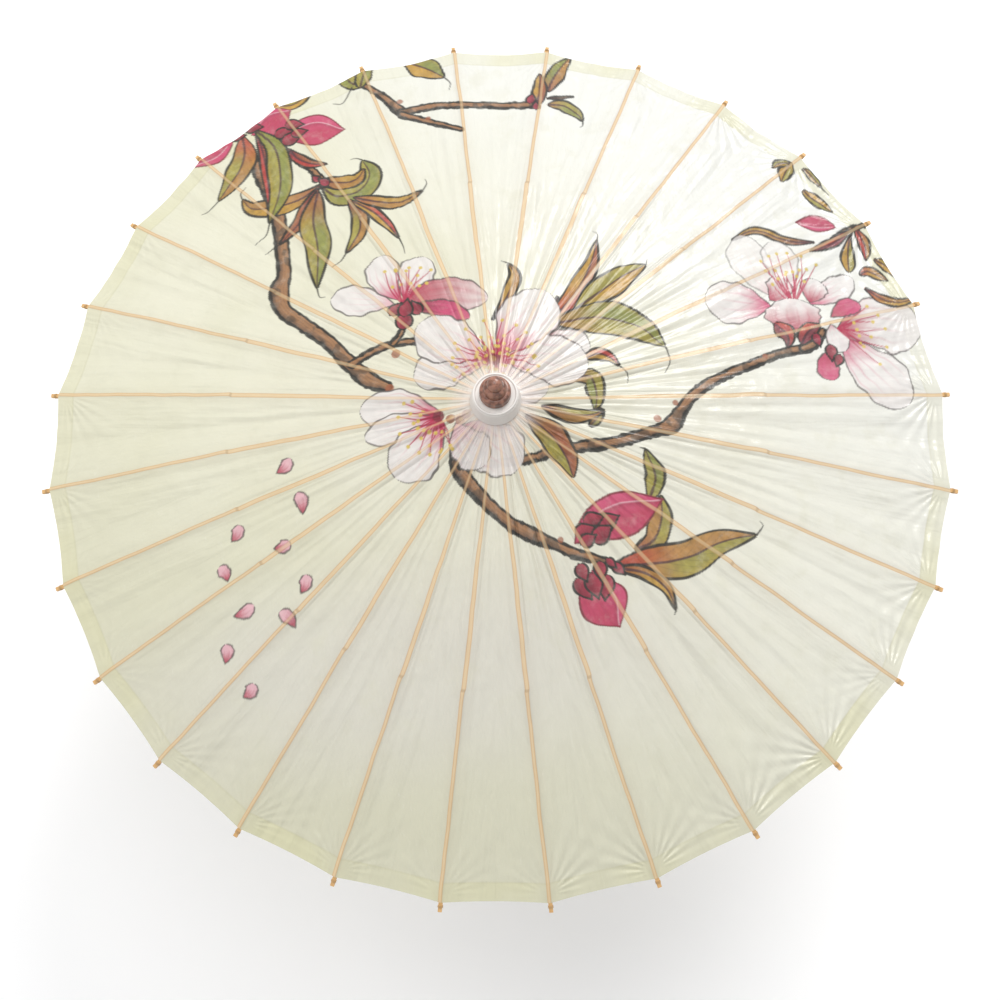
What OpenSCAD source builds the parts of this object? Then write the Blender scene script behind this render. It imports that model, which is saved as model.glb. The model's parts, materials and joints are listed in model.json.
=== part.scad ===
// Oil paper umbrella: 28 split bamboo ribs, 28 stretchers, a sliding runner and a pleated paper canopy.
// Origin: the middle of the handle's bottom face. +Z runs up the shaft. It stands open and latched.

/* [Canopy] */
// Open diameter over the rib tips
open_d = 840; // [700:10:1010]
// Slope of the ribs below the horizontal when open, in degrees
open_slope = 14.2; // [12:0.2:18]
// Extra bend of each rib outside its joint, in degrees
droop = 1.8; // [0.6:0.2:2.4]
// Thickness of the oiled paper
paper_t = 0.4; // [0.3:0.1:0.6]
// Radius of the hole in the paper, under the cap
paper_hole_r = 13.5; // [13:0.25:15]
// Bare rib beyond the paper's edge
tip_bare = 8; // [4:1:14]

/* [Ribs] */
// Distance from the notch pivot to the stretcher's pin
joint_at = 226; // [188:2:272]
// Width of a rib at its joint
rib_w = 4.4; // [3.8:0.1:5.3]
// Width of a rib at its tip
rib_tip_w = 3.4; // [2.8:0.1:4]
// Height of a rib above its pin line
rib_back = 3.2; // [3:0.1:3.9]
// Height of a rib below its pin line
rib_belly = 1.8; // [1.6:0.1:2.2]
// Depth of a rib at its tip
rib_tip_d = 2.8; // [2.2:0.1:3.4]
// Width of the tongue that fits the notch
tongue_w = 2; // [1.6:0.1:2.2]
// Length of the split that the stretcher folds into
split_len = 50; // [48:1:60]

/* [Stretchers] */
// Width of a stretcher
stretcher_w = 3; // [2.6:0.1:3.2]
// Depth of a stretcher
stretcher_d = 3.4; // [2.8:0.1:3.6]
// Width of the tongue that fits the rib's split
stretcher_tongue_w = 1.6; // [1.3:0.1:1.8]

/* [Notch and runner] */
// Radius of the circle of pivots, in the notch and in the runner
pivot_r = 15; // [14.6:0.1:18]
// Outer radius of the notch and of the runner's slotted head
hub_r = 19; // [18:0.25:22.8]
// Height of the runner's slotted head
runner_head_h = 12; // [10:1:14]
// Length of the runner's grip below its head
runner_grip_len = 22; // [14:1:30]
// Radius of the runner's grip
runner_grip_r = 11.2; // [9.5:0.1:11.8]
// Radius of the wire that the ribs turn on
wire_r = 0.5; // [0.4:0.05:0.6]
// Radius of the pin in a rib's joint
pin_r = 0.7; // [0.6:0.05:0.8]

/* [Shaft and handle] */
// Diameter of the shaft
shaft_d = 12; // [10:0.5:14.5]
// Diameter of the handle
handle_d = 19; // [17:0.5:24]
// Length of the handle
handle_len = 90; // [75:1:120]
// Outer radius of the stop collar above the runner
collar_r = 9.6; // [8.8:0.1:11]
// Height of the stop collar
collar_h = 5; // [4:0.5:8]

/* [Cap and finial] */
// Radius of the cap where it meets the paper
cap_foot_r = 22; // [21:0.5:26]
// Radius of the cap's top
cap_top_r = 19.2; // [17:0.2:20.8]
// Height of the cap's top above the notch pivots
cap_h = 20; // [17:0.5:24]
// Radius of the finial's lowest tier
finial_r = 13.4; // [11:0.2:15.5]
// Height of the finial
finial_h = 29; // [24:0.5:35]

/* [Clearances] */
// Radial clearance of turning and sliding fits
run_fit = 0.06; // [0.03:0.01:0.09]
// Radial clearance of fixed fits
seat_fit = 0.02; // [0.01:0.01:0.04]
// Gap at each side of a tongue in its slot
side_gap = 0.15; // [0.1:0.05:0.2]
// Gap between pieces that pass each other
pass_gap = 0.3; // [0.3:0.05:0.5]
// Gap between the ribs and the paper
paper_gap = 0.25; // [0.2:0.05:0.4]

/* [Hidden] */
$fn = 64;
rib_count = 28;
closed_lean = 3.2;          // angle between a folded rib and the shaft
rib_step = 360 / rib_count;
shaft_r = shaft_d / 2;
handle_r = handle_d / 2;

// Eyes at the ends of the ribs and stretchers
rib_eye_r = tongue_w / 2 + 1.2;
stretcher_eye_r = stretcher_d / 2 + 0.1;
wire_bore_r = wire_r + run_fit + 0.03;      // a straight bore on a curved wire
pin_bore_r = pin_r + run_fit;

// Two equal bars: the runner and notch pivots lie on one circle and the bars have one length
open_gap = 2 * joint_at * sin(open_slope);
closed_gap = 2 * joint_at * cos(closed_lean);
travel = closed_gap - open_gap;
stretcher_len = joint_at;
outer_len = (open_d / 2 - pivot_r - joint_at * cos(open_slope)) / cos(open_slope + droop);

// Levels up the shaft
runner_below = runner_head_h / 2 + runner_grip_len;
runner_rest_gap = 10;
hub_z = handle_len + runner_rest_gap + runner_below + closed_gap;
runner_z = hub_z - open_gap;
runner_neck_h = 5;
runner_top = runner_head_h / 2 + runner_neck_h;
stop_gap = 0.1;
rod_foot = 8;
rod_in_finial = 9;
rod_top = hub_z + cap_h + rod_in_finial;

// Slots of the notch and runner
slot_w = tongue_w + 2 * side_gap;
slot_floor_r = pivot_r - rib_eye_r - pass_gap;
notch_top = 1.2;
notch_below = 7;
neck_r = slot_floor_r - 2;
neck_h = 12;

// Lengths along a rib and a stretcher
tongue_len = notch_below + 2;
shoulder_at = 60;
shoulder_w = tongue_w + 1.2;
split_in = stretcher_eye_r + stretcher_d / 2 + 5;
split_w = stretcher_tongue_w + 2 * side_gap;
split_roof = stretcher_eye_r + 0.25;
foot_narrow = 30;            // stretcher foot that stays as narrow as the runner's slots
foot_taper = 50;

// "rib_" and 0 give "rib_01"
function numbered(stem, i) = str(stem, i < 9 ? "0" : "", i + 1);

// Azimuth of rib i: rib 0 points to the front, along -Y
function azimuth(i) = -90 + i * rib_step;

// Rib outline in its own plane: x runs from the notch pivot to the pin, z is up
function outer_point(s, h) =
    [joint_at + s * cos(droop) + h * sin(droop), h * cos(droop) - s * sin(droop)];

// Height of a rib's back over the line through its two pivots
function back_at(x) = rib_eye_r + (rib_back - rib_eye_r) * x / joint_at;

// Height of a rib's back over its outer line, s beyond the joint
function outer_back_at(s) = rib_back - (rib_back - rib_tip_d + 0.2) * s / outer_len;

// A point of the rib plane when open, as radius and height
function opened(p) = [
    pivot_r + p[0] * cos(open_slope) + p[1] * sin(open_slope),
    hub_z - p[0] * sin(open_slope) + p[1] * cos(open_slope)];

// Underside of the paper along a rib, at its hole, at the joint and at its edge
hole_x = (paper_hole_r - pivot_r) / cos(open_slope);
edge_s = outer_len - tip_bare;
ridge = [
    opened([hole_x, back_at(hole_x) + paper_gap]),
    opened([joint_at, rib_back + paper_gap]),
    opened(outer_point(edge_s, outer_back_at(edge_s) + paper_gap))];

// Height of the paper's upper face over the cap's foot
function paper_top_at(r) = ridge[0][1] + paper_t / cos(open_slope)
    + (r - ridge[0][0]) * (ridge[1][1] - ridge[0][1]) / (ridge[1][0] - ridge[0][0]);

// Places a shape drawn in the rib plane at rib i
module at_rib(i) {
    rotate([0, 0, azimuth(i)])
        translate([pivot_r, 0, hub_z])
            rotate([0, open_slope, 0])
                children();
}

// Extrudes an x-z outline to a width centred on the rib plane
module blade(width) {
    rotate([90, 0, 0])
        linear_extrude(height = width, center = true)
            children();
}

// A cross bore or pin at x along a bar
module cross_pin(x, r, length) {
    translate([x, 0, 0])
        rotate([90, 0, 0])
            cylinder(r = r, h = length, center = true);
}

// Side outline of a rib
module rib_side() {
    circle(r = rib_eye_r);
    polygon([
        [0, -rib_eye_r],
        [joint_at, -rib_belly],
        outer_point(split_len, -rib_belly),
        outer_point(outer_len, -0.2),
        outer_point(outer_len, outer_back_at(outer_len)),
        outer_point(0, rib_back),
        [joint_at, rib_back],
        [0, rib_eye_r]]);
}

// Half widths of a rib along its length
rib_plan = [
    [-rib_eye_r - 1, tongue_w / 2],
    [tongue_len, tongue_w / 2],
    [shoulder_at, shoulder_w / 2],
    [joint_at - split_in, rib_w / 2],
    [joint_at + split_len + 6, rib_w / 2],
    [joint_at + outer_len + 5, rib_tip_w / 2]];

// Half widths of a stretcher, from the rib's pin to the runner
stretcher_plan = [
    [-stretcher_eye_r - 1, stretcher_tongue_w / 2],
    [split_len + 4, stretcher_tongue_w / 2],
    [split_len + 12, stretcher_w / 2],
    [stretcher_len - foot_taper, stretcher_w / 2],
    [stretcher_len - foot_narrow, tongue_w / 2],
    [stretcher_len + rib_eye_r + 1, tongue_w / 2]];

// Closed outline from a list of half widths
module plan_outline(plan) {
    polygon(concat(
        plan,
        [for (k = [len(plan) - 1:-1:0]) [plan[k][0], -plan[k][1]]]));
}

module rib(i) {
    at_rib(i) {
        color("burlywood")
            difference() {
                intersection() {
                    blade(rib_w + 2) rib_side();
                    translate([0, 0, -30])
                        linear_extrude(height = 60) plan_outline(rib_plan);
                }
                cross_pin(0, wire_bore_r, rib_w + 2);
                cross_pin(joint_at, pin_r + seat_fit, rib_w + 2);
                translate([joint_at - split_in, -split_w / 2, -rib_belly - 5])
                    cube([split_in + split_len, split_w, rib_belly + 5 + split_roof]);
            }
        color("saddlebrown")
            cross_pin(joint_at, pin_r, rib_w - 0.2);
    }
}

module stretcher(i) {
    at_rib(i)
        translate([joint_at, 0, 0])
            rotate([0, 180 - 2 * open_slope, 0])
                color("tan")
                    difference() {
                        intersection() {
                            blade(stretcher_w + 2) stretcher_side();
                            translate([0, 0, -10])
                                linear_extrude(height = 20) plan_outline(stretcher_plan);
                        }
                        cross_pin(0, pin_bore_r, stretcher_w + 2);
                        cross_pin(stretcher_len, wire_bore_r, stretcher_w + 2);
                    }
}

// Side outline of a stretcher
module stretcher_side() {
    circle(r = stretcher_eye_r);
    translate([0, -stretcher_d / 2])
        square([stretcher_len, stretcher_d]);
    translate([stretcher_len, 0])
        circle(r = rib_eye_r - 0.2);
}

// 28 radial slots cut down to the slot floor
module slots(z0, z1) {
    for (i = [0:rib_count - 1])
        rotate([0, 0, azimuth(i)])
            translate([slot_floor_r, -slot_w / 2, z0])
                cube([hub_r, slot_w, z1 - z0]);
}

// Ring of wire on the pivot circle
module wire_ring(r) {
    rotate_extrude()
        translate([pivot_r, 0])
            circle(r = r, $fn = 24);
}

module notch() {
    color("peru")
        translate([0, 0, hub_z])
            difference() {
                union() {
                    translate([0, 0, -notch_below])
                        cylinder(r = hub_r, h = notch_below + notch_top);
                    cylinder(r = neck_r, h = neck_h);
                }
                slots(-notch_below - 1, notch_top + 1);
                wire_ring(wire_r + seat_fit);
                translate([0, 0, -notch_below - 1])
                    cylinder(r = shaft_r + seat_fit, h = notch_below + neck_h + 2);
            }
}

// White cap: a cone that follows the paper below and carries a raised rim on top
module cap() {
    rim_w = 2.2;
    rim_h = 1;
    foot_z = paper_top_at(cap_foot_r) + pass_gap;
    inner_z = paper_top_at(neck_r) + pass_gap;
    color("whitesmoke")
        rotate_extrude()
            polygon([
                [neck_r + seat_fit, inner_z],
                [cap_foot_r, foot_z],
                [cap_foot_r, foot_z + 3],
                [cap_top_r, hub_z + cap_h],
                [cap_top_r, hub_z + cap_h + rim_h],
                [cap_top_r - rim_w, hub_z + cap_h + rim_h],
                [cap_top_r - rim_w, hub_z + cap_h],
                [shaft_r + seat_fit, hub_z + cap_h],
                [shaft_r + seat_fit, hub_z + neck_h + seat_fit],
                [neck_r + seat_fit, hub_z + neck_h + seat_fit]]);
}

// Turned finial of three rounded tiers, bored for the top of the shaft
module finial() {
    tier_r = [finial_r, finial_r * 0.72, finial_r * 0.5];
    tier_h = [0.36 * finial_h, 0.3 * finial_h, 0.34 * finial_h];
    base_z = [0, tier_h[0], tier_h[0] + tier_h[1]];
    knob_flat_r = 0.6;
    round_r = [3, 3, tier_r[2] - knob_flat_r];
    color("sienna")
        translate([0, 0, hub_z + cap_h + seat_fit])
            difference() {
                rotate_extrude() {
                    for (k = [0:2])
                        tier_outline(tier_r[k], base_z[k], tier_h[k], round_r[k]);
                }
                translate([0, 0, -1])
                    cylinder(r = shaft_r + seat_fit, h = rod_in_finial + 1 + seat_fit);
            }
}

// Half outline of one tier: straight below, rounded by r at its upper edge
module tier_outline(tier_r, z, h, r) {
    translate([0, z]) {
        square([tier_r, h - r]);
        square([tier_r - r, h]);
        translate([tier_r - r, h - r])
            intersection() {
                circle(r = r);
                square(r);
            }
    }
}

module crown() {
    notch();
    color("dimgray")
        translate([0, 0, hub_z]) wire_ring(wire_r);
    cap();
    finial();
}

module shaft() {
    color("tan")
        translate([0, 0, rod_foot])
            cylinder(r = shaft_r, h = rod_top - rod_foot);
    color("peru")
        translate([0, 0, runner_z + runner_top + stop_gap])
            difference() {
                cylinder(r = collar_r, h = collar_h);
                translate([0, 0, -1])
                    cylinder(r = shaft_r + seat_fit, h = collar_h + 2);
            }
    handle();
}

// Turned handle: straight grip, blind bore for the shaft, rounded shoulder
module handle() {
    round_r = 2.5;
    color("saddlebrown")
        difference() {
            rotate_extrude()
                tier_outline(handle_r, 0, handle_len, round_r);
            translate([0, 0, rod_foot - seat_fit])
                cylinder(r = shaft_r + seat_fit, h = handle_len);
        }
}

module runner() {
    color("peru")
        translate([0, 0, runner_z])
            difference() {
                union() {
                    translate([0, 0, -runner_head_h / 2])
                        cylinder(r = hub_r, h = runner_head_h);
                    translate([0, 0, -runner_below])
                        cylinder(r = runner_grip_r, h = runner_below);
                    cylinder(r = neck_r, h = runner_top);
                }
                slots(-runner_head_h / 2 - 1, runner_head_h / 2 + 1);
                translate([0, 0, -runner_below - 1])
                    cylinder(r = shaft_r + run_fit, h = runner_below + runner_top + 2);
            }
}

// Pleated paper: flat between the ribs, with a ridge over each rib
module canopy() {
    lift = paper_t / cos(open_slope);
    rings = concat(
        [for (p = ridge) p],
        [for (k = [len(ridge) - 1:-1:0]) [ridge[k][0], ridge[k][1] + lift]]);
    loops = len(rings);
    points = [
        for (k = [0:loops - 1])
            for (i = [0:rib_count - 1])
                [rings[k][0] * cos(azimuth(i)), rings[k][0] * sin(azimuth(i)), rings[k][1]]];
    faces = [
        for (k = [0:loops - 1])
            for (i = [0:rib_count - 1])
                let (k2 = (k + 1) % loops, i2 = (i + 1) % rib_count)
                    [k * rib_count + i, k2 * rib_count + i, k2 * rib_count + i2, k * rib_count + i2]];
    color("ivory")
        polyhedron(points = points, faces = faces, convexity = 4);
}

shaft();
crown();
runner();
canopy();
for (i = [0:rib_count - 1]) {
    rib(i);
    stretcher(i);
}
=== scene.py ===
"""Oil paper umbrella: painted paper, bamboo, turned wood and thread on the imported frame. Metres."""
import json
import math

import bmesh
import bpy
import numpy as np
from mathutils import Matrix, Vector


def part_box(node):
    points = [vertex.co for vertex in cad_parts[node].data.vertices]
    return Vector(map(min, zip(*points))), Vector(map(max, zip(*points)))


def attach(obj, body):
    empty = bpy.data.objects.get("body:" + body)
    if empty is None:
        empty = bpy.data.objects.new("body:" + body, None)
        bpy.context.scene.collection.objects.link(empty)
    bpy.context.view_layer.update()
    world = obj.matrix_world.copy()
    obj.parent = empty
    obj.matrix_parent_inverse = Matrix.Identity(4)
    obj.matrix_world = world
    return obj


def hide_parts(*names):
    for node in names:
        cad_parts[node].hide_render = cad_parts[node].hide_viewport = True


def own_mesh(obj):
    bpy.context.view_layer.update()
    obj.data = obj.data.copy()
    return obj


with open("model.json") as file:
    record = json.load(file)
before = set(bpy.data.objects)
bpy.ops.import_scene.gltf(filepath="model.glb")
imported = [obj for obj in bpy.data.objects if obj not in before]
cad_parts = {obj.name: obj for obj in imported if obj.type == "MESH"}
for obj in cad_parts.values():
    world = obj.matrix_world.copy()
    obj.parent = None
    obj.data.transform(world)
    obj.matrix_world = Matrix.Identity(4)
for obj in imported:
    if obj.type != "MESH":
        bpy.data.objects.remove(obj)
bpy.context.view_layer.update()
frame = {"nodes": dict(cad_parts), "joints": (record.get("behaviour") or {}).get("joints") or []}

# ---------------------------------------------------------------- sizes, from the frame

RIBS = 28
MM = 0.001
joints = {joint["name"]: joint for joint in frame["joints"]}
SIDE_RIB = RIBS // 4 + 1                        # the rib that points along +X
pivot = Vector(joints[f"rib_hinge_{SIDE_RIB:02d}"]["pos_m"])
pin = Vector(joints[f"stretcher_hinge_{SIDE_RIB:02d}"]["pos_m"])
paper_low, paper_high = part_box("canopy")
runner_low, runner_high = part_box("runner")

HUB_Z = pivot.z
SLOPE = math.atan2(HUB_Z - pin.z, pin.x - pivot.x)
PAPER_LIFT = 3.75 * MM                          # upper face of the paper over the ribs' pin line
HOLE_R = 13.5 * MM
EDGE_R = paper_high.x
EDGE_Z = paper_low.z + 0.4 * MM
JOINT_R = pin.x + PAPER_LIFT * math.sin(SLOPE)
JOINT_Z = pin.z + PAPER_LIFT * math.cos(SLOPE)
HOLE_Z = JOINT_Z + (JOINT_R - HOLE_R) * math.tan(SLOPE)
HALF_GAP = math.pi / RIBS                       # angle from a rib to the middle of its gap
HEM = 16 * MM                                   # width of the folded edge
FINE = (400, 76)                                # rows and columns of a painted strip
PLAIN = (180, 60)                               # and of a bare one


def azimuth(i):
    """Angle of rib i, counted from 0, in radians: rib 0 points to the front."""
    return -math.pi / 2 + i * 2 * math.pi / RIBS


def body_name(i):
    """Name of the body that rib i turns on."""
    return f"rib_{i + 1:02d}"


def down_slope(radius):
    """Distance along the sloping paper that a plan radius stands for."""
    return radius / math.cos(SLOPE)


# ---------------------------------------------------------------- camera, light, floor

def look(position, forward, right):
    """World matrix that looks along forward with right to the right."""
    back = -Vector(forward).normalized()
    side = Vector(right).normalized()
    up = back.cross(side)
    turned = Matrix((side, up, back)).transposed().to_4x4()
    return Matrix.Translation(position) @ turned


def make_camera():
    """The view from high above the front, turned and rolled a little."""
    target = Vector((-0.004, -0.054, 0.470))
    elevation = math.radians(73.1)
    turn = math.radians(-3.0)
    roll = math.radians(-3.3)
    distance = 1.40
    forward = Vector((
        -math.sin(turn) * math.cos(elevation),
        math.cos(turn) * math.cos(elevation),
        -math.sin(elevation)))
    flat_right = forward.cross(Vector((0, 0, 1))).normalized()
    flat_up = flat_right.cross(forward)
    right = math.cos(roll) * flat_right + math.sin(roll) * flat_up
    data = bpy.data.cameras.new("camera")
    data.sensor_width = 36
    data.lens = 55.2
    data.clip_end = 50
    camera = bpy.data.objects.new("camera", data)
    camera.matrix_world = look(target - distance * forward, forward, right)
    bpy.context.scene.collection.objects.link(camera)
    bpy.context.scene.camera = camera


def area_light(name, position, target, size, power, colour=(1, 1, 1)):
    """A round soft light, size metres across, that points at target."""
    data = bpy.data.lights.new(name, "AREA")
    data.shape = "DISK"
    data.size = size
    data.energy = power
    data.color = colour
    light = bpy.data.objects.new(name, data)
    aim = (Vector(target) - Vector(position)).to_track_quat("-Z", "Y")
    light.matrix_world = Matrix.Translation(position) @ aim.to_matrix().to_4x4()
    bpy.context.scene.collection.objects.link(light)
    return light


def make_studio():
    """Soft light from above and both sides, a glare light at the back right, a pale floor."""
    bpy.context.scene.view_settings.view_transform = "Standard"
    middle = (0, 0, 0.4)
    area_light("overhead", (0, 0.3, 2.9), middle, 1.2, 11)
    area_light("glare", (1.6, 2.5, 3.5), (0.15, 0.15, 0.5), 2.2, 96, (1.0, 0.995, 0.985))
    side = area_light("side", (-2.2, 1.3, 3.3), middle, 2.0, 36, (1.0, 0.99, 0.975))
    side.visible_glossy = False                 # it fills the shadow without a second patch of glare
    area_light("fill", (-3.6, -2.8, 3.2), middle, 2.6, 14, (1.0, 0.985, 0.96))
    world = bpy.data.worlds.new("studio")
    world.use_nodes = True
    background = world.node_tree.nodes["Background"]
    background.inputs["Color"].default_value = (0.97, 0.98, 1.0, 1)
    background.inputs["Strength"].default_value = 0.72
    bpy.context.scene.world = world
    bm = bmesh.new()
    bmesh.ops.create_grid(bm, x_segments=1, y_segments=1, size=6)
    floor = finish_mesh("floor", bm)
    floor.data.materials.append(plain_floor())


# ---------------------------------------------------------------- mesh helpers

def finish_mesh(name, bm, smooth=True):
    """Turns a bmesh into a named object at the origin."""
    mesh = bpy.data.meshes.new(name)
    bm.to_mesh(mesh)
    bm.free()
    mesh.polygons.foreach_set("use_smooth", [smooth] * len(mesh.polygons))
    piece = bpy.data.objects.new(name, mesh)
    bpy.context.scene.collection.objects.link(piece)
    return piece


def spun(name, outline, sides=96, sharp=32):
    """A turned solid: spins an outline of (radius, height) points round the shaft's axis."""
    bm = bmesh.new()
    ring = [bm.verts.new((r, 0, z)) for r, z in outline]
    edges = [bm.edges.new(pair) for pair in zip(ring, ring[1:])]
    bmesh.ops.spin(
        bm, geom=ring + edges, axis=(0, 0, 1), cent=(0, 0, 0),
        steps=sides, angle=2 * math.pi, use_merge=True)
    bmesh.ops.remove_doubles(bm, verts=bm.verts, dist=1e-6)
    bmesh.ops.recalc_face_normals(bm, faces=bm.faces)
    piece = finish_mesh(name, bm)
    piece.data.set_sharp_from_angle(angle=math.radians(sharp))
    return piece


def arc(centre, radius, start, end, steps=6):
    """Points (r, z) on an arc, angles in degrees."""
    turns = [math.radians(start + (end - start) * k / steps) for k in range(steps + 1)]
    return [(centre[0] + radius * math.cos(a), centre[1] + radius * math.sin(a)) for a in turns]


def wire_loop(bm, centre, across, along, radius, wire, sides=6, steps=14):
    """Adds a ring of thread to bm. across and along span the ring's plane."""
    start = centre + across * radius
    section = []
    normal = across.cross(along).normalized()
    for k in range(sides):
        a = 2 * math.pi * k / sides
        section.append(bm.verts.new(start + across * wire * math.cos(a) + normal * wire * math.sin(a)))
    edges = [bm.edges.new((section[k], section[(k + 1) % sides])) for k in range(sides)]
    bmesh.ops.spin(
        bm, geom=section + edges, axis=normal, cent=centre,
        steps=steps, angle=2 * math.pi, use_merge=True)


def rib_frame(i):
    """Outward, sideways and up directions of rib i."""
    a = azimuth(i)
    return Vector((math.cos(a), math.sin(a), 0)), Vector((-math.sin(a), math.cos(a), 0)), Vector((0, 0, 1))


def thicken(bm, faces, offset):
    """Extrudes flat faces along offset into a closed solid."""
    raised = bmesh.ops.extrude_face_region(bm, geom=faces)
    moved = [part for part in raised["geom"] if isinstance(part, bmesh.types.BMVert)]
    bmesh.ops.translate(bm, verts=moved, vec=offset)
    bmesh.ops.recalc_face_normals(bm, faces=bm.faces)


def mount(piece, material, body, node=None):
    """Gives a rigid piece its material and slot, on its body and in a CAD node's place."""
    piece.data.materials.append(material)
    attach(piece, body)
    if node:
        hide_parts(node)


# ---------------------------------------------------------------- material helpers

class Nodes:
    """A material or group tree with short calls to add and join nodes."""

    def __init__(self, tree):
        self.tree = tree

    def add(self, kind, **settings):
        node = self.tree.nodes.new(kind)
        for name, value in settings.items():
            setattr(node, name, value)
        return node

    def put(self, value, socket):
        """Links an output to a socket, or sets a plain number or colour on it."""
        if hasattr(value, "links"):
            self.tree.links.new(value, socket)
        elif isinstance(value, tuple):
            socket.default_value = (*value, 1)
        else:
            socket.default_value = value

    def math(self, operation, *values):
        """A sum on one value or two."""
        node = self.add("ShaderNodeMath", operation=operation)
        for value, socket in zip(values, node.inputs):
            self.put(value, socket)
        return node.outputs[0]

    def plus(self, a, b):
        return self.math("ADD", a, b)

    def minus(self, a, b):
        return self.math("SUBTRACT", a, b)

    def times(self, a, b):
        return self.math("MULTIPLY", a, b)

    def mix(self, share, a, b):
        """Colour a where share is 0 and colour b where it is 1."""
        node = self.add("ShaderNodeMix", data_type="RGBA")
        for value, k in ((share, 0), (a, 6), (b, 7)):
            self.put(value, node.inputs[k])
        return node.outputs[2]

    def step(self, value, low, high, out_low=0.0, out_high=1.0):
        """A soft step, out_low below low and out_high above high."""
        node = self.add("ShaderNodeMapRange", interpolation_type="SMOOTHSTEP")
        for number, socket in zip((value, low, high, out_low, out_high), node.inputs):
            self.put(number, socket)
        return node.outputs[0]

    def noise(self, vector, scale, detail=3.0, rough=0.55):
        """Noise with about scale waves in a metre."""
        node = self.add("ShaderNodeTexNoise")
        for name, value in (("Vector", vector), ("Scale", scale), ("Detail", detail), ("Roughness", rough)):
            self.put(value, node.inputs[name])
        return node.outputs["Fac"]

    def stretch(self, vector, scale):
        """A vector with each part multiplied by its own number."""
        node = self.add("ShaderNodeVectorMath", operation="MULTIPLY")
        self.put(vector, node.inputs[0])
        node.inputs[1].default_value = scale
        return node.outputs[0]

    def place(self):
        """Where a point lies on the umbrella, in metres."""
        return self.add("ShaderNodeTexCoord").outputs["Object"]

    def split(self, vector):
        node = self.add("ShaderNodeSeparateXYZ")
        self.put(vector, node.inputs[0])
        return node.outputs

    def vector(self, *parts):
        node = self.add("ShaderNodeCombineXYZ")
        for value, socket in zip(parts, node.inputs):
            self.put(value, socket)
        return node.outputs[0]

    def bump(self, height, distance):
        """A surface normal from a height that spans distance, in metres."""
        node = self.add("ShaderNodeBump")
        for name, value in (("Strength", 1.0), ("Distance", distance), ("Height", height)):
            self.put(value, node.inputs[name])
        return node.outputs[0]

    def group(self, tree, place):
        """Outputs of a node group placed in this tree."""
        node = self.add("ShaderNodeGroup", node_tree=tree)
        self.put(place, node.inputs["Place"])
        return node.outputs

    def shade(self, shader, **values):
        """Feeds the shader's sockets, each named in small letters with underlines."""
        for key, value in values.items():
            self.put(value, shader.inputs[key.replace("_", " ").title().replace("Ior", "IOR")])


def new_material(name, **plain):
    """A material, its nodes and its Principled shader, whose plain sockets are set by name."""
    material = bpy.data.materials.new(name)
    material.use_nodes = True
    nodes = Nodes(material.node_tree)
    shader = material.node_tree.nodes["Principled BSDF"]
    nodes.shade(shader, **plain)
    return material, nodes, shader


def new_group(name, *labels):
    """A node group that makes numbers from a place: its tree, nodes, place and output sockets."""
    tree = bpy.data.node_groups.new(name, "ShaderNodeTree")
    tree.interface.new_socket(name="Place", in_out="INPUT", socket_type="NodeSocketVector")
    for label in labels:
        tree.interface.new_socket(name=label, in_out="OUTPUT", socket_type="NodeSocketFloat")
    nodes = Nodes(tree)
    place = nodes.add("NodeGroupInput").outputs["Place"]
    return tree, nodes, place, nodes.add("NodeGroupOutput").inputs


def linear(code):
    """Scene-linear colour of an sRGB hex code."""
    parts = [int(code[k:k + 2], 16) / 255 for k in (1, 3, 5)]
    return tuple(p / 12.92 if p <= 0.04045 else ((p + 0.055) / 1.055) ** 2.4 for p in parts)


# ---------------------------------------------------------------- materials

def plain_floor():
    """A pale floor with a faint cloud in it."""
    material, nodes, shader = new_material("studio_floor", roughness=0.9)
    cloud = nodes.noise(nodes.place(), 0.7)
    nodes.shade(shader, base_color=nodes.mix(cloud, (0.955, 0.955, 0.958), (0.975, 0.975, 0.975)))
    return material


def radial_grain_group():
    """Fibres that run outward from the shaft: colour share, dark streaks and height."""
    tree, nodes, place, end = new_group("radial_grain", "Tone", "Streak", "Height")
    x, y, z = nodes.split(place)
    radius = nodes.math("SQRT", nodes.plus(nodes.times(x, x), nodes.times(y, y)))
    round_about = nodes.times(nodes.math("ARCTAN2", y, x), radius)
    along = nodes.vector(radius, nodes.times(round_about, 40.0), nodes.times(z, 30.0))
    streak = nodes.noise(along, 42.0, 4.0, 0.65)
    nodes.put(nodes.noise(along, 9.0, 2.0), end["Tone"])
    nodes.put(nodes.step(streak, 0.55, 0.8), end["Streak"])
    nodes.put(streak, end["Height"])
    return tree


def wear_group():
    """Handling wear: soft patches and small lengthwise scratches."""
    tree, nodes, place, end = new_group("handling_wear", "Patch", "Scratch")
    nodes.put(nodes.step(nodes.noise(place, 26.0), 0.45, 0.7), end["Patch"])
    thin = nodes.stretch(place, (1.0, 1.0, 0.12))
    nodes.put(nodes.step(nodes.noise(thin, 420.0, 2.0), 0.62, 0.75), end["Scratch"])
    return tree


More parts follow.
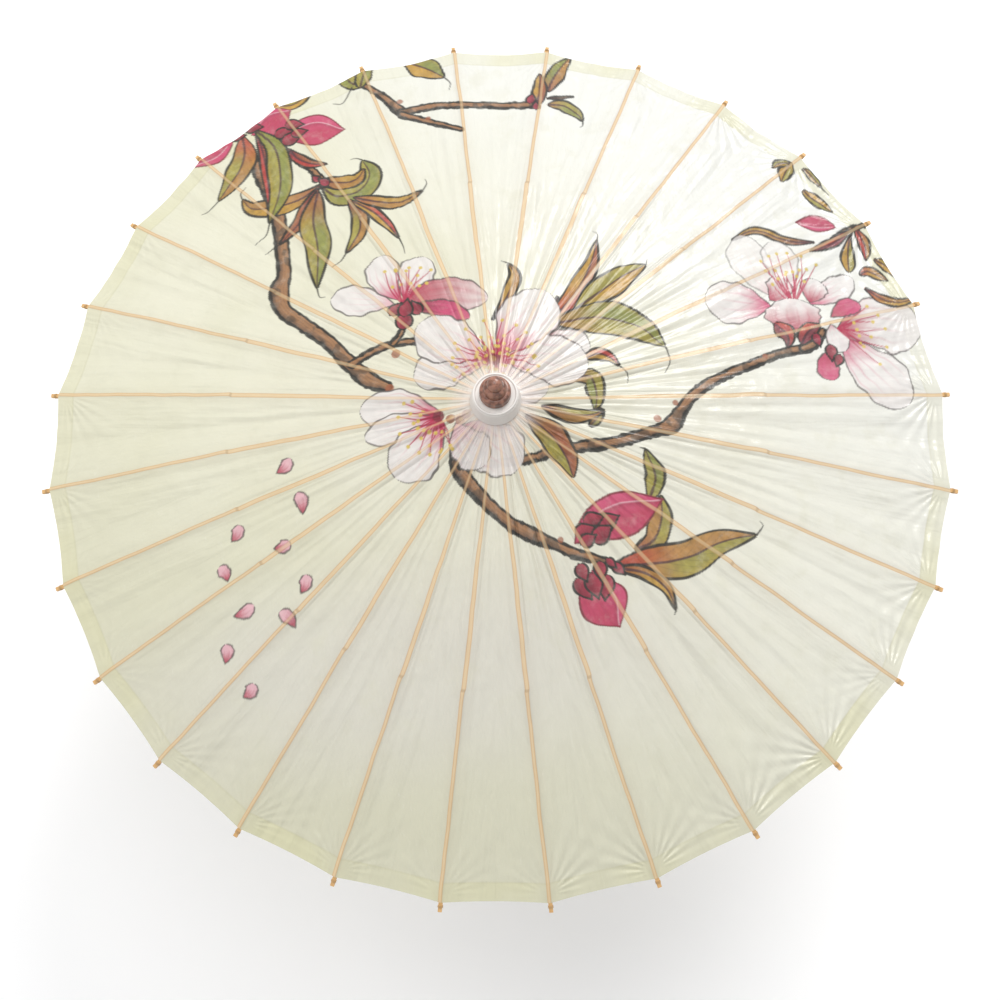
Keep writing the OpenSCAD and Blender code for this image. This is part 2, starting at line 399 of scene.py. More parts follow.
def bamboo(name, light, dark, knot_radii):
    """Split bamboo with fibres along the piece and darker bands at its knots."""
    material, nodes, shader = new_material(name, coat_weight=0.12, coat_roughness=0.3)
    place = nodes.place()
    grain = nodes.group(GRAIN, place)
    colour = nodes.mix(grain["Tone"], light, dark)
    colour = nodes.mix(nodes.times(grain["Streak"], 0.45), colour, BAMBOO_STREAK)
    flat = nodes.add("ShaderNodeVectorMath", operation="LENGTH")
    nodes.put(nodes.stretch(place, (1, 1, 0)), flat.inputs[0])
    for knot in knot_radii:
        gap = nodes.math("ABSOLUTE", nodes.minus(flat.outputs["Value"], knot))
        colour = nodes.mix(nodes.step(gap, 0.6 * MM, 3.5 * MM, 0.55, 0.0), colour, BAMBOO_KNOT)
    roughness = nodes.step(grain["Height"], 0.2, 0.8, 0.42, 0.62)
    nodes.shade(shader, base_color=colour, roughness=roughness, normal=nodes.bump(grain["Height"], 0.35 * MM))
    return material


def turned_wood(name, light, dark, gloss):
    """Lathe-turned wood: lengthwise grain, fine tool rings, rubbed patches."""
    material, nodes, shader = new_material(name, coat_weight=gloss, coat_roughness=0.18)
    place = nodes.place()
    long_grain = nodes.noise(nodes.stretch(place, (1.0, 1.0, 0.09)), 260.0, 4.0)
    broad = nodes.noise(nodes.stretch(place, (1.0, 1.0, 0.3)), 55.0, 2.0)
    wear = nodes.group(WEAR, place)
    colour = nodes.mix(nodes.step(long_grain, 0.35, 0.68), light, dark)
    colour = nodes.mix(nodes.times(broad, 0.5), colour, dark)
    colour = nodes.mix(nodes.times(wear["Scratch"], 0.35), colour, light)
    ring = nodes.math("SINE", nodes.times(nodes.split(place)[2], TOOL_RINGS * 2 * math.pi))
    height = nodes.plus(nodes.times(ring, 0.25), long_grain)
    roughness = nodes.step(wear["Patch"], 0.0, 1.0, 0.38, 0.55)
    nodes.shade(shader, base_color=colour, roughness=roughness, normal=nodes.bump(height, 0.12 * MM))
    return material


def lacquered_white():
    """White paint on the cap: clouded, with dust specks and a fine orange-peel surface."""
    material, nodes, shader = new_material("white_cap_paint", coat_weight=0.25, coat_roughness=0.25)
    place = nodes.place()
    cloud = nodes.noise(place, 60.0)
    speck = nodes.step(nodes.noise(place, 900.0, 2.0), 0.66, 0.74)
    colour = nodes.mix(cloud, linear("#E4E0DB"), linear("#D3CDC6"))
    colour = nodes.mix(nodes.times(speck, 0.25), colour, linear("#A59B84"))
    peel = nodes.bump(nodes.noise(place, 500.0, 4.0), 0.1 * MM)
    nodes.shade(shader, base_color=colour, roughness=nodes.step(cloud, 0.3, 0.7, 0.35, 0.55), normal=peel)
    return material


def waxed_thread():
    """Tan cotton with a fine twist."""
    material, nodes, shader = new_material("waxed_thread", roughness=0.8)
    ply = nodes.noise(nodes.place(), 2200.0, 2.0)
    colour = nodes.mix(ply, linear("#CFAE80"), linear("#AE8A5C"))
    nodes.shade(shader, base_color=colour, normal=nodes.bump(ply, 0.2 * MM))
    return material


def drawn_wire():
    """Steel wire, dulled in patches."""
    material, nodes, shader = new_material("drawn_wire", metallic=1.0)
    dull = nodes.noise(nodes.place(), 350.0)
    colour = nodes.mix(dull, (0.42, 0.40, 0.37), (0.22, 0.19, 0.16))
    nodes.shade(shader, base_color=colour, roughness=nodes.step(dull, 0.3, 0.7, 0.3, 0.6))
    return material


def paper_tone_and_painted_light(nodes, place):
    """Colour of the bare paper: cream, mottled, fibrous, with painted light: a paler painted highlight to the
    right and back right, painted shade towards the front left and a greyer painted sheen in front.
    """
    cloud = nodes.noise(place, 5.0, 4.0)
    blotch = nodes.noise(place, 11.0)
    mottled = nodes.noise(place, 38.0, 4.0, 0.6)
    fibre = nodes.noise(nodes.stretch(place, (1.0, 0.25, 1.0)), 420.0)
    x, y, _ = nodes.split(place)
    # painted highlight: the paper turns paler and less yellow towards the right
    highlight_lean = nodes.plus(nodes.times(x, 0.9), nodes.times(blotch, 0.5))
    # painted glare: the paper turns near white towards the back right
    glare_lean = nodes.plus(x, y)
    # painted shade: the paper darkens towards the front left
    shade_lean = nodes.plus(nodes.plus(nodes.times(x, 0.5), y), nodes.times(cloud, 0.2))
    # painted sheen: a soft oval patch in front where the paper turns greyer and less yellow
    off_x = nodes.times(nodes.plus(x, 0.1), 0.33)
    off_y = nodes.plus(y, 0.21)
    sheen_distance = nodes.math("SQRT", nodes.plus(nodes.times(off_x, off_x), nodes.times(off_y, off_y)))
    sheen_distance = nodes.plus(sheen_distance, nodes.times(blotch, 0.05))
    colour = PAPER_LIGHT
    for value, low, high, out_low, out_high, tint in (
            (cloud, 0.32, 0.68, 0.0, 1.0, PAPER_DARK),
            (highlight_lean, 0.0, 0.55, 0.0, 0.75, PAINTED_HIGHLIGHT_PAPER),
            (glare_lean, 0.1, 0.5, 0.0, 0.9, PAINTED_GLARE_PAPER),
            (shade_lean, -0.32, 0.05, 0.8, 0.0, PAINTED_SHADE_PAPER),
            (sheen_distance, 0.05, 0.15, 0.75, 0.0, PAINTED_SHEEN_PAPER),
            (mottled, 0.5, 0.75, 0.0, 0.3, PAPER_STAIN),
            (fibre, 0.6, 0.8, 0.0, 0.25, PAPER_FIBRE)):
        colour = nodes.mix(nodes.step(value, low, high, out_low, out_high), colour, tint)
    return colour, mottled, fibre


def ribs_through_paper(nodes, place, across, along, seed, colour, strength):
    """The ribs seen through the paper: paler middle, darker sides, a break at the joint."""
    joint = down_slope(JOINT_R)
    wander = nodes.noise(nodes.vector(nodes.times(along, 16.0), seed), 1.0, 2.0)
    bow = nodes.times(nodes.minus(wander, 0.5), 3.4 * MM)
    bow = nodes.times(bow, nodes.step(along, 0.03, 0.14))
    jog = nodes.step(along, joint + 4 * MM, joint + 8 * MM, 0.0, 0.7 * MM)
    off = nodes.math("ABSOLUTE", nodes.plus(across, nodes.plus(bow, jog)))
    swollen = nodes.step(along, 0.03, 0.2, 0.9 * MM, 1.8 * MM)
    half = nodes.minus(swollen, nodes.step(along, joint + 4 * MM, joint + 12 * MM, 0.0, 0.4 * MM))
    inside = nodes.minus(half, off)
    rib = nodes.mix(nodes.step(inside, -0.1 * MM, 1.0 * MM), RIB_SIDE, RIB_MIDDLE)
    rib = nodes.mix(nodes.times(nodes.noise(place, 60.0), 0.35), rib, RIB_SIDE)
    gap = nodes.math("ABSOLUTE", nodes.minus(along, joint + 6 * MM))
    rib = nodes.mix(nodes.step(gap, 0.4 * MM, 2.2 * MM, 0.35, 0.0), rib, RIB_BREAK)
    return nodes.mix(nodes.times(nodes.step(inside, -0.7 * MM, 0.4 * MM), strength), colour, rib)


def hem_band(nodes, place, along, colour):
    """The folded edge: doubled paper, with a soft line where the fold ends."""
    fold = down_slope(EDGE_R) - HEM
    band = nodes.step(along, fold - 0.6 * MM, fold + 0.6 * MM)
    seam = nodes.step(nodes.math("ABSOLUTE", nodes.minus(along, fold)), 0.4 * MM, 1.4 * MM, 0.2, 0.0)
    patchy = nodes.step(nodes.noise(place, 9.0, 2.0), 0.35, 0.65, 0.2, 0.6)
    colour = nodes.mix(nodes.times(band, patchy), colour, HEM_COLOUR)
    return nodes.mix(seam, colour, HEM_LINE)


def paper_creases(nodes, cut, across, along, seed, fibre):
    """Normal of the oiled surface: streaks along the gap, a soft crinkle and its fibres."""
    streak_place = nodes.vector(across, nodes.times(along, 0.06), nodes.times(seed, 0.3))
    streak = nodes.noise(streak_place, 120.0, 2.0, 0.45)
    crinkle = nodes.noise(nodes.stretch(cut, (1.0, 0.45, 1.0)), 42.0, 3.0, 0.45)
    height = nodes.plus(nodes.plus(streak, nodes.times(crinkle, 2.0)), nodes.times(fibre, 0.08))
    return nodes.bump(height, 1.6 * MM)


def oiled_paper():
    """Oiled paper with its design, the ribs behind it and its hem. UV "Cut" is the flat cut in metres."""
    material, nodes, shader = new_material(
        "oiled_paper", coat_weight=0.7, coat_roughness=0.14, coat_ior=1.5, specular_ior_level=0.4)
    place = nodes.place()
    cut = nodes.add("ShaderNodeUVMap", uv_map="Cut").outputs[0]
    across, along, _ = nodes.split(cut)
    seed = nodes.add("ShaderNodeAttribute", attribute_name="seed").outputs["Fac"]
    # bare paper, with its painted highlights, painted shade and painted sheen
    colour, mottled, fibre = paper_tone_and_painted_light(nodes, place)
    colour = hem_band(nodes, place, along, colour)
    bare = ribs_through_paper(nodes, place, across, along, seed, colour, 0.85)
    design = nodes.add("ShaderNodeAttribute", attribute_name="paint").outputs
    ink = nodes.noise(place, 90.0, 4.0, 0.65)
    washed = nodes.mix(nodes.step(ink, 0.45, 0.8, 0.0, 0.16), design["Color"], PAPER_FIBRE)
    washed = ribs_through_paper(nodes, place, across, along, seed, washed, 0.45)
    colour = nodes.mix(nodes.times(design["Alpha"], 0.97), bare, washed)
    chalky = nodes.plus(along, nodes.times(ink, 16 * MM))
    colour = nodes.mix(nodes.step(chalky, 34 * MM, 56 * MM, 0.62, 0.0), colour, HUB_WHITE)
    normal = paper_creases(nodes, cut, across, along, seed, fibre)
    nodes.shade(
        shader, base_color=colour, roughness=nodes.step(mottled, 0.3, 0.7, 0.30, 0.46),
        normal=normal, coat_normal=normal)
    glow = nodes.add("ShaderNodeBsdfTranslucent")
    nodes.shade(glow, color=colour, normal=normal)
    both = nodes.add("ShaderNodeMixShader")
    for value, socket in zip((LET_THROUGH, shader.outputs[0], glow.outputs[0]), both.inputs):
        nodes.put(value, socket)
    nodes.put(both.outputs[0], material.node_tree.nodes["Material Output"].inputs["Surface"])
    return material


LET_THROUGH = 0.22                              # share of the light that goes through the paper
TOOL_RINGS = 420                                # lathe marks in a metre
BAMBOO_STREAK = (0.16, 0.075, 0.025)
BAMBOO_KNOT = (0.2, 0.09, 0.03)
PAPER_LIGHT = linear("#D3D1BD")
PAPER_DARK = linear("#CCCAB2")
# paper colour of the painted highlight towards the right
PAINTED_HIGHLIGHT_PAPER = linear("#D9D8CE")
PAPER_STAIN = linear("#C5C3AD")
PAPER_FIBRE = linear("#DAD8CC")
# paper colour of the painted shade towards the front left
PAINTED_SHADE_PAPER = linear("#C1BFA8")
# paper colour of the greyer painted sheen in front
PAINTED_SHEEN_PAPER = linear("#C9C6BC")
# paper colour of the painted glare at the back right
PAINTED_GLARE_PAPER = linear("#DADAD5")
HUB_WHITE = linear("#E6DDD8")
HEM_COLOUR = linear("#C9C69F")
HEM_LINE = linear("#B0AC84")
RIB_SIDE = linear("#CBA06C")
RIB_MIDDLE = linear("#E4CDA4")
RIB_BREAK = linear("#8A6238")

GRAIN = radial_grain_group()
WEAR = wear_group()
PAPER = oiled_paper()


# ---------------------------------------------------------------- painted design, in plan millimetres

INK = linear("#12100C")
LEAF_LINE = linear("#12110C")
MIDRIB = linear("#47202E")
OLIVE = linear("#A69B3C")
GREEN = linear("#8E923C")
GOLD = linear("#C49630")
OCHRE = linear("#B5823A")
RUST = linear("#A65A33")
RED = linear("#C23A34")
MAROON = linear("#861C34")
SCALE_RED = linear("#B02C48")
CRIMSON = linear("#BE2450")
ROSE = linear("#D8467A")
BLUSH = linear("#F0B9C4")
PETAL = linear("#F7F2EE")
PETAL_LINE = linear("#4E4644")
BARK = linear("#A8764A")
BARK_DARK = linear("#57392A")
POLLEN = linear("#E2C75C")
PIGMENT = 0.74                                  # paint is a little darker than its swatches
CURVE_STEPS = 8                                 # straight steps between two points of a curve


def curve_through(points):
    """A smooth curve through the points (Catmull-Rom). Columns after x and y are carried along."""
    p = np.array(points, float)
    p = np.vstack([2 * p[0] - p[1], p, 2 * p[-1] - p[-2]])
    t = np.arange(CURVE_STEPS)[:, None] / CURVE_STEPS
    parts = []
    for a, b, c, d in zip(p, p[1:], p[2:], p[3:]):
        bent = (2 * a - 5 * b + 4 * c - d) * t ** 2 + (3 * b - a - 3 * c + d) * t ** 3
        parts.append(0.5 * (2 * b + (c - a) * t + bent))
    return np.vstack(parts + [p[-2:-1]])


def mottle(x, y, size, seed=0.0):
    """Soft uneven pattern from 0 to 1, about size millimetres across."""
    k = 2 * math.pi / size
    a = np.sin(k * (x * 0.8 + y * 0.3) + seed) + np.sin(k * (y * 1.1 - x * 0.35) + 2.1 * seed + 1)
    b = np.sin(k * 1.9 * (x * 0.5 - y * 0.9) + 3 * seed + a) + np.sin(k * 2.7 * (x + y * 0.4) + seed * 5 + a)
    return np.clip(0.5 + 0.16 * (a + b), 0, 1)


def blend(a, b, t):
    """Colour between a and b for each point, t from 0 to 1."""
    t = np.asarray(t)[:, None]
    return np.asarray(a) * (1 - t) + np.asarray(b) * t


def swell(share, full):
    """Width along a shape: none at its ends, whole at the share given by full."""
    return np.sin(np.pi * np.clip(share, 0, 1) ** (math.log(0.5) / math.log(full)))


class Painter:
    """Lays painted shapes over one another at points given in plan millimetres."""

    def __init__(self, x, y):
        self.x, self.y = x, y
        self.colour = np.zeros((len(x), 3))
        self.cover = np.zeros(len(x))

    def near(self, spine, reach):
        """Points near a curve: their numbers, share along it, signed distance to its left."""
        low, high = spine[:, :2].min(0) - reach, spine[:, :2].max(0) + reach
        found = np.flatnonzero(
            (self.x > low[0]) & (self.x < high[0]) & (self.y > low[1]) & (self.y < high[1]))
        if not len(found):
            return found, np.zeros(0), np.zeros(0)
        here = np.stack([self.x[found], self.y[found]], 1)
        best = np.full(len(found), 1e9)
        share = np.zeros(len(found))
        side = np.zeros(len(found))
        steps = np.diff(spine[:, :2], axis=0)
        lengths = np.hypot(*steps.T)
        starts = np.concatenate([[0], np.cumsum(lengths)])
        for k, (step, length) in enumerate(zip(steps, lengths)):
            if length < 1e-9:
                continue
            gap = here - spine[k, :2]
            t = np.clip((gap @ step) / length ** 2, 0, 1)
            away = gap - t[:, None] * step
            distance = np.hypot(*away.T)
            closer = distance < best
            best[closer] = distance[closer]
            share[closer] = ((starts[k] + t * length) / starts[-1])[closer]
            side[closer] = (distance * np.sign(step[0] * gap[:, 1] - step[1] * gap[:, 0]))[closer]
        return found, share, side

    def lay(self, found, colour, cover):
        """Paints colour over what is there."""
        cover = np.clip(cover, 0, 1)
        under = self.cover[found] * (1 - cover)
        total = cover + under
        mixed = np.asarray(colour) * cover[:, None] + self.colour[found] * under[:, None]
        self.colour[found] = mixed / np.maximum(total, 1e-6)[:, None]
        self.cover[found] = total

    def fill(self, found, side, half, colour, cover=0.97):
        """Paints inside a shape that reaches half to each side of its curve."""
        self.lay(found, colour, cover * smoothstep(half - np.abs(side), -0.5, 0.3))

    def outline(self, found, edge, line, colour, cover=0.97, soft=0.8):
        """A pen line where edge, the distance to a shape's edge, is under line."""
        self.lay(found, colour, cover * (1 - smoothstep(edge, line, line + soft)))

    def line(self, points, width, colour=INK, cover=0.9, taper=0.0):
        """A pen line, thinner at its end when taper is above 0."""
        spine = curve_through(points)
        found, share, side = self.near(spine, width + 1)
        half = width / 2 * (1 - taper * share)
        self.lay(found, colour, cover * (1 - smoothstep(np.abs(side), half - 0.35, half + 0.45)))

    def dot(self, x, y, radius, colour, cover=0.9):
        """A round spot."""
        found = np.flatnonzero((np.abs(self.x - x) < radius + 1) & (np.abs(self.y - y) < radius + 1))
        away = np.hypot(self.x[found] - x, self.y[found] - y)
        self.lay(found, colour, cover * (1 - smoothstep(away, radius - 0.4, radius + 0.5)))

    def leaf(self, points, width, left=GREEN, right=OLIVE, base=RUST, full=0.45, hook=()):
        """A pointed leaf with two unlike halves, a dark midrib, an outline and a curled tip."""
        found, share, side = self.near(curve_through(points), width)
        seed = points[0][0] * 0.13
        wave = 1 + 0.07 * np.sin(share * 13 + seed) * np.sign(side)
        half = width / 2 * swell(share, full) ** 0.8 * wave
        tone = mottle(self.x[found], self.y[found], 21, seed)
        colour = blend(left, right, smoothstep(side, -0.8, 0.8)) * (0.82 + 0.36 * tone[:, None])
        rim = smoothstep(np.abs(side) / np.maximum(half, 0.1), 0.55, 1.0)
        colour = blend(colour, GOLD, rim * 0.3)
        colour = blend(colour, base, (1 - smoothstep(share, 0.05, 0.5)) * 0.85)
        veins = smoothstep(np.sin(share * 60 - np.abs(side) * 1.1), 0.75, 1.0) * 0.18
        self.fill(found, side, half, colour * (1 - veins[:, None]), 0.96)
        middle = 1.25 * (1 - 0.6 * share)
        inner = (share < 0.97) * (share > 0.01)
        self.outline(found, np.abs(side), middle - 0.3, MIDRIB, 0.85 * inner)
        line = 0.75 + 0.3 * np.sin(share * 9 + seed)
        inner = (share < 0.995) * (share > 0.005)
        self.outline(found, np.abs(np.abs(side) - half), line, LEAF_LINE, 0.95 * inner)
        if hook:
            self.line([points[-1], *hook], 1.7, LEAF_LINE, taper=0.7)

    def petal(self, points, width, base=ROSE, body=PETAL, depth=0.55, full=0.62, cover=0.93, veins=0.3):
        """A round-ended petal: flushed at its base, faint veins, a thin outline."""
        found, share, side = self.near(curve_through(points), width)
        seed = points[-1][0] * 0.17 + points[-1][1] * 0.05
        wave = 1 + 0.05 * np.sin(share * 11 + seed) * np.sign(side) + 0.04 * np.sin(share * 27 + seed)
        half = width / 2 * swell(share, full) ** 0.55 * wave
        across = side / np.maximum(half, 0.1)
        flush = 1 - smoothstep(share + 0.12 * np.cos(across * 9 + seed) * share, 0.0, depth)
        shade = 0.93 + 0.09 * mottle(self.x[found], self.y[found], 26, seed)
        colour = blend(body, base, flush ** 1.05) * shade[:, None]
        vein = smoothstep(np.cos(across * 16 + seed), 0.6, 1.0) * (1 - smoothstep(share, 0.35, 0.9))
        self.fill(found, side, half, blend(colour, base, vein * veins), cover)
        line = 0.35 + 0.35 * np.sin(share * 7 + seed) ** 2
        edge = np.abs(np.abs(side) - half)
        self.outline(found, edge, line, PETAL_LINE, 0.85 * cover * (share < 0.998), 0.75)

    def bud(self, points, width, full=0.5):
        """A closed bud: crimson, lighter along one side, wrapped by a second petal."""
        found, share, side = self.near(curve_through(points), width)
        half = width / 2 * swell(share, full) ** np.where(share < full, 0.75, 1.1)
        across = side / np.maximum(half, 0.1)
        tone = mottle(self.x[found], self.y[found], 17, width)
        light = 0.25 + 0.5 * smoothstep(across, -0.2, 0.9) + 0.3 * (tone - 0.5)
        self.fill(found, side, half, blend(CRIMSON, ROSE, np.clip(light, 0, 1)))
        fold = (across - 0.15 - 0.35 * np.sin(share * 3.0)) * half
        wrapped = (share > 0.15) * (np.abs(side) < half)
        self.lay(found, BLUSH, 0.8 * (1 - smoothstep(np.abs(fold), 0.3, 1.2)) * wrapped)
        self.lay(found, MAROON, 0.35 * (1 - smoothstep(-fold, 0.8, 6.0)) * (fold < 0) * wrapped)
        self.outline(found, np.abs(np.abs(side) - half), 0.6, MAROON)

    def scales(self, *spots, toward):
        """Overlapping bud scales, each (x, y, radius), pointed towards one place."""
        for x, y, radius in spots:
            turn = math.atan2(toward[1] - y, toward[0] - x)
            step = (radius * math.cos(turn), radius * math.sin(turn))
            tail, tip = (x - step[0], y - step[1]), (x + 1.7 * step[0], y + 1.7 * step[1])
            found, share, side = self.near(curve_through([tail, (x, y), tip]), radius * 2)
            half = np.sin(np.pi * np.clip(share, 0, 1) ** 0.72) ** np.where(share < 0.4, 0.6, 1.15)
            half *= 0.95 * radius
            self.fill(found, side, half, blend(MAROON, SCALE_RED, smoothstep(side / radius, -0.7, 0.9)))
            self.outline(found, np.abs(np.abs(side) - half), 0.7, INK)

    def branch(self, points):
        """Bark: points are (x, y, width)."""
        spine = curve_through(points)
        found, share, side = self.near(spine, spine[:, 2].max())
        lengths = np.concatenate([[0], np.cumsum(np.hypot(*np.diff(spine[:, :2], axis=0).T))])
        half = np.interp(share * lengths[-1], lengths, spine[:, 2]) / 2
        x, y = self.x[found], self.y[found]
        rough = 0.7 * mottle(x, y, 26, 2.0) + 0.3 * mottle(x, y, 11, 1.0) - 0.5
        half = half * 0.88 + rough * 1.2
        tone = mottle(x, y, 24, 0.7)
        across = side / np.maximum(half, 0.5)
        colour = blend(BARK, BARK_DARK, smoothstep(-across + 0.5 * (tone - 0.5), -0.1, 0.8) * 0.8)
        fibre = smoothstep(np.sin(side * 2.2 + 3 * tone + share * 9), 0.6, 1.0)
        colour = blend(colour, BARK_DARK, fibre * 0.4)
        spots = smoothstep(mottle(x, y, 34, 4.0) - 0.12 * across, 0.62, 0.74)
        self.fill(found, side, half, blend(colour, INK, spots * 0.55))
        edge = np.abs(np.abs(side) - half) - 0.9 * smoothstep(tone - 0.2 * np.sign(side), 0.4, 0.8)
        self.outline(found, edge, 0.7, INK)

    def stamens(self, x, y, start, end, count, short, long):
        """Thin filaments with yellow tips, fanned between two angles in degrees."""
        for k in range(count):
            share = k / max(count - 1, 1)
            a = math.radians(start + (end - start) * share + 5 * math.sin(k * 2.4))
            length = short + (long - short) * (0.5 + 0.5 * math.sin(k * 4.1 + x))
            tip = (x + length * math.cos(a), y + length * math.sin(a))
            bow = 0.08 * length * math.sin(k * 1.7)
            middle = ((x + tip[0]) / 2 - bow * math.sin(a), (y + tip[1]) / 2 + bow * math.cos(a))
            self.line([(x, y), middle, tip], 1.8, CRIMSON, 0.85, taper=0.6)
            self.dot(*tip, 1.7, POLLEN, 0.95)


def paint_branches(p):
    """The brown wood of every spray, laid first."""
    p.branch([(-206, 318, 9), (-199, 290, 11), (-188, 258, 13), (-182, 235, 14), (-180, 200, 14),
              (-179, 168, 14), (-184, 150, 20), (-181, 130, 15), (-165, 112, 14), (-142, 88, 13),
              (-124, 62, 14), (-108, 42, 15), (-92, 32, 9)])
    p.branch([(-122, 60, 8), (-104, 68, 7), (-82, 73, 7), (-58, 71, 6)])
    p.branch([(-184, 330, 7), (-164, 304, 7), (-146, 282, 6), (-136, 266, 5)])
    p.branch([(-92, 383, 6), (-74, 365, 8), (-57, 341, 13)])
    p.branch([(-57, 341, 10), (-30, 345, 9), (0, 341, 8), (32, 338, 8), (68, 333, 9)])
    p.branch([(-57, 338, 9), (-40, 330, 7), (-20, 319, 6), (-2, 309, 5)])
    p.branch([(-38, -36, 9), (-37, -54, 13), (-18, -82, 11), (0, -102, 11), (15, -112, 13),
              (35, -123, 9), (55, -133, 8), (88, -145, 6)])
    p.branch([(-36, -50, 5), (-8, -52, 5), (22, -51, 7), (60, -44, 9), (100, -40, 10), (136, -31, 10),
              (151, -26, 17), (162, -12, 10), (178, 4, 10), (200, 17, 9), (230, 29, 8), (262, 41, 8),
              (290, 47, 9)])
    for x, y, size in ((-58, 356, 3), (-32, 330, 2.5), (139, -20, 3.5), (157, -6, 2.5), (247, 38, 2.5),
                       (42, -120, 2.5), (-82, 62, 4), (-90, 30, 4)):
        p.dot(x, y, size, RUST, 0.8)


def paint_upper_left(p):
    """Three buds, their scales and the leaves at the upper left."""
    p.leaf([(-185, 376), (-165, 373), (-144, 388)], 13, GOLD, OLIVE, GOLD)
    p.bud([(-226, 340), (-245, 330), (-267, 316)], 30)
    p.bud([(-206, 344), (-188, 354), (-166, 366)], 38)
    p.bud([(-172, 333), (-145, 335), (-114, 331)], 40)
    p.leaf([(-216, 345), (-214, 320), (-222, 295), (-241, 268)], 25, OLIVE, OCHRE, RED,
           hook=((-250, 259), (-258, 257)))
    p.leaf([(-137, 266), (-160, 252), (-186, 247), (-207, 250), (-217, 264)], 21, OCHRE, GOLD, RUST,
           full=0.55, hook=((-218, 271), (-213, 277)))
    p.leaf([(-202, 348), (-195, 315), (-191, 275), (-190, 236)], 10, RED, RUST, RED)
    p.leaf([(-203, 350), (-184, 322), (-179, 290), (-181, 262), (-191, 228)], 24, OLIVE, GREEN, GREEN,
           full=0.5, hook=((-195, 216), (-206, 208)))
    p.leaf([(-170, 316), (-160, 301), (-146, 291), (-132, 288)], 11, RED, RUST, MAROON)
    p.leaf([(-140, 262), (-124, 246), (-103, 250), (-93, 268), (-99, 288)], 27, GREEN, OLIVE, OLIVE,
           full=0.55, hook=((-105, 291), (-110, 290)))
    p.leaf([(-138, 268), (-120, 262), (-106, 264), (-97, 277)], 17, OCHRE, GOLD, RUST)
    p.leaf([(-143, 262), (-155, 238), (-166, 218), (-183, 202)], 14, RUST, RUST, MAROON,
           hook=((-190, 198), (-196, 195)))
    p.leaf([(-143, 258), (-149, 225), (-146, 188), (-149, 146)], 26, OLIVE, GREEN, RUST,
           hook=((-147, 136), (-142, 135)))
    p.leaf([(-114, 240), (-106, 222), (-106, 202), (-120, 178)], 16, OLIVE, OCHRE, MAROON,
           hook=((-126, 170), (-134, 165)))
    p.leaf([(-112, 238), (-93, 222), (-80, 204), (-70, 186)], 11, GOLD, RED, GOLD,
           hook=((-67, 176), (-66, 168)))
    p.leaf([(-110, 242), (-88, 233), (-64, 228), (-44, 238)], 14, OCHRE, GOLD, RUST,
           hook=((-40, 246), (-41, 252)))
    p.scales((-222, 346, 6), (-206, 353, 7), (-176, 338, 7), (-165, 346, 7), (-168, 328, 8), (-160, 334, 6),
             toward=(-120, 340))
    p.scales((-144, 272, 4), (-136, 266, 5), toward=(-150, 280))


def paint_top(p):
    """Leaves of the short sprays at the top edge."""
    p.leaf([(-94, 382), (-106, 392), (-114, 412)], 17, OLIVE, GREEN, OLIVE, hook=())
    p.leaf([(-96, 380), (-92, 396), (-84, 418)], 16, GREEN, OLIVE, OLIVE)
    p.line([(-104, 384), (-111, 370), (-116, 365), (-124, 367)], 1.7, LEAF_LINE, taper=0.6)
    p.leaf([(-50, 412), (-30, 398), (-12, 381)], 26, GOLD, GREEN, GOLD, hook=((-7, 372), (-9, 363)))
    p.leaf([(86, 348), (94, 366), (104, 382), (115, 396)], 17, OCHRE, GREEN, RUST)
    p.leaf([(84, 332), (100, 330), (112, 318), (116, 308)], 14, GREEN, OLIVE, OCHRE,
           hook=((115, 303), (112, 301)))
    p.leaf([(84, 340), (98, 341), (112, 342)], 4, OCHRE, OLIVE, RUST)
    p.leaf([(72, 330), (78, 346), (82, 374)], 14, RUST, GOLD, MAROON)
    p.scales((69, 340, 5), (73, 330, 4), toward=(76, 360))


def paint_left_blossom(p):
    """The half-open blossom left of the middle."""
    p.petal([(-80, 114), (-105, 122), (-137, 131)], 31, BLUSH, depth=0.35)
    p.petal([(-76, 118), (-86, 142), (-88, 169)], 32, ROSE)
    p.petal([(-70, 118), (-60, 138), (-48, 160)], 34, ROSE, depth=0.45)
    p.petal([(-68, 113), (-35, 116), (4, 106)], 38, CRIMSON, depth=1.45, full=0.5)
    p.petal([(-66, 108), (-42, 103), (-14, 88)], 20, MAROON, ROSE, depth=0.7)
    p.stamens(-72, 112, 40, 112, 13, 22, 44)
    p.branch([(-71, 96, 5), (-76, 82, 5), (-84, 73, 6)])
    p.scales((-72, 94, 8), (-60, 105, 6), (-80, 107, 6), (-70, 106, 7), toward=(-66, 122))


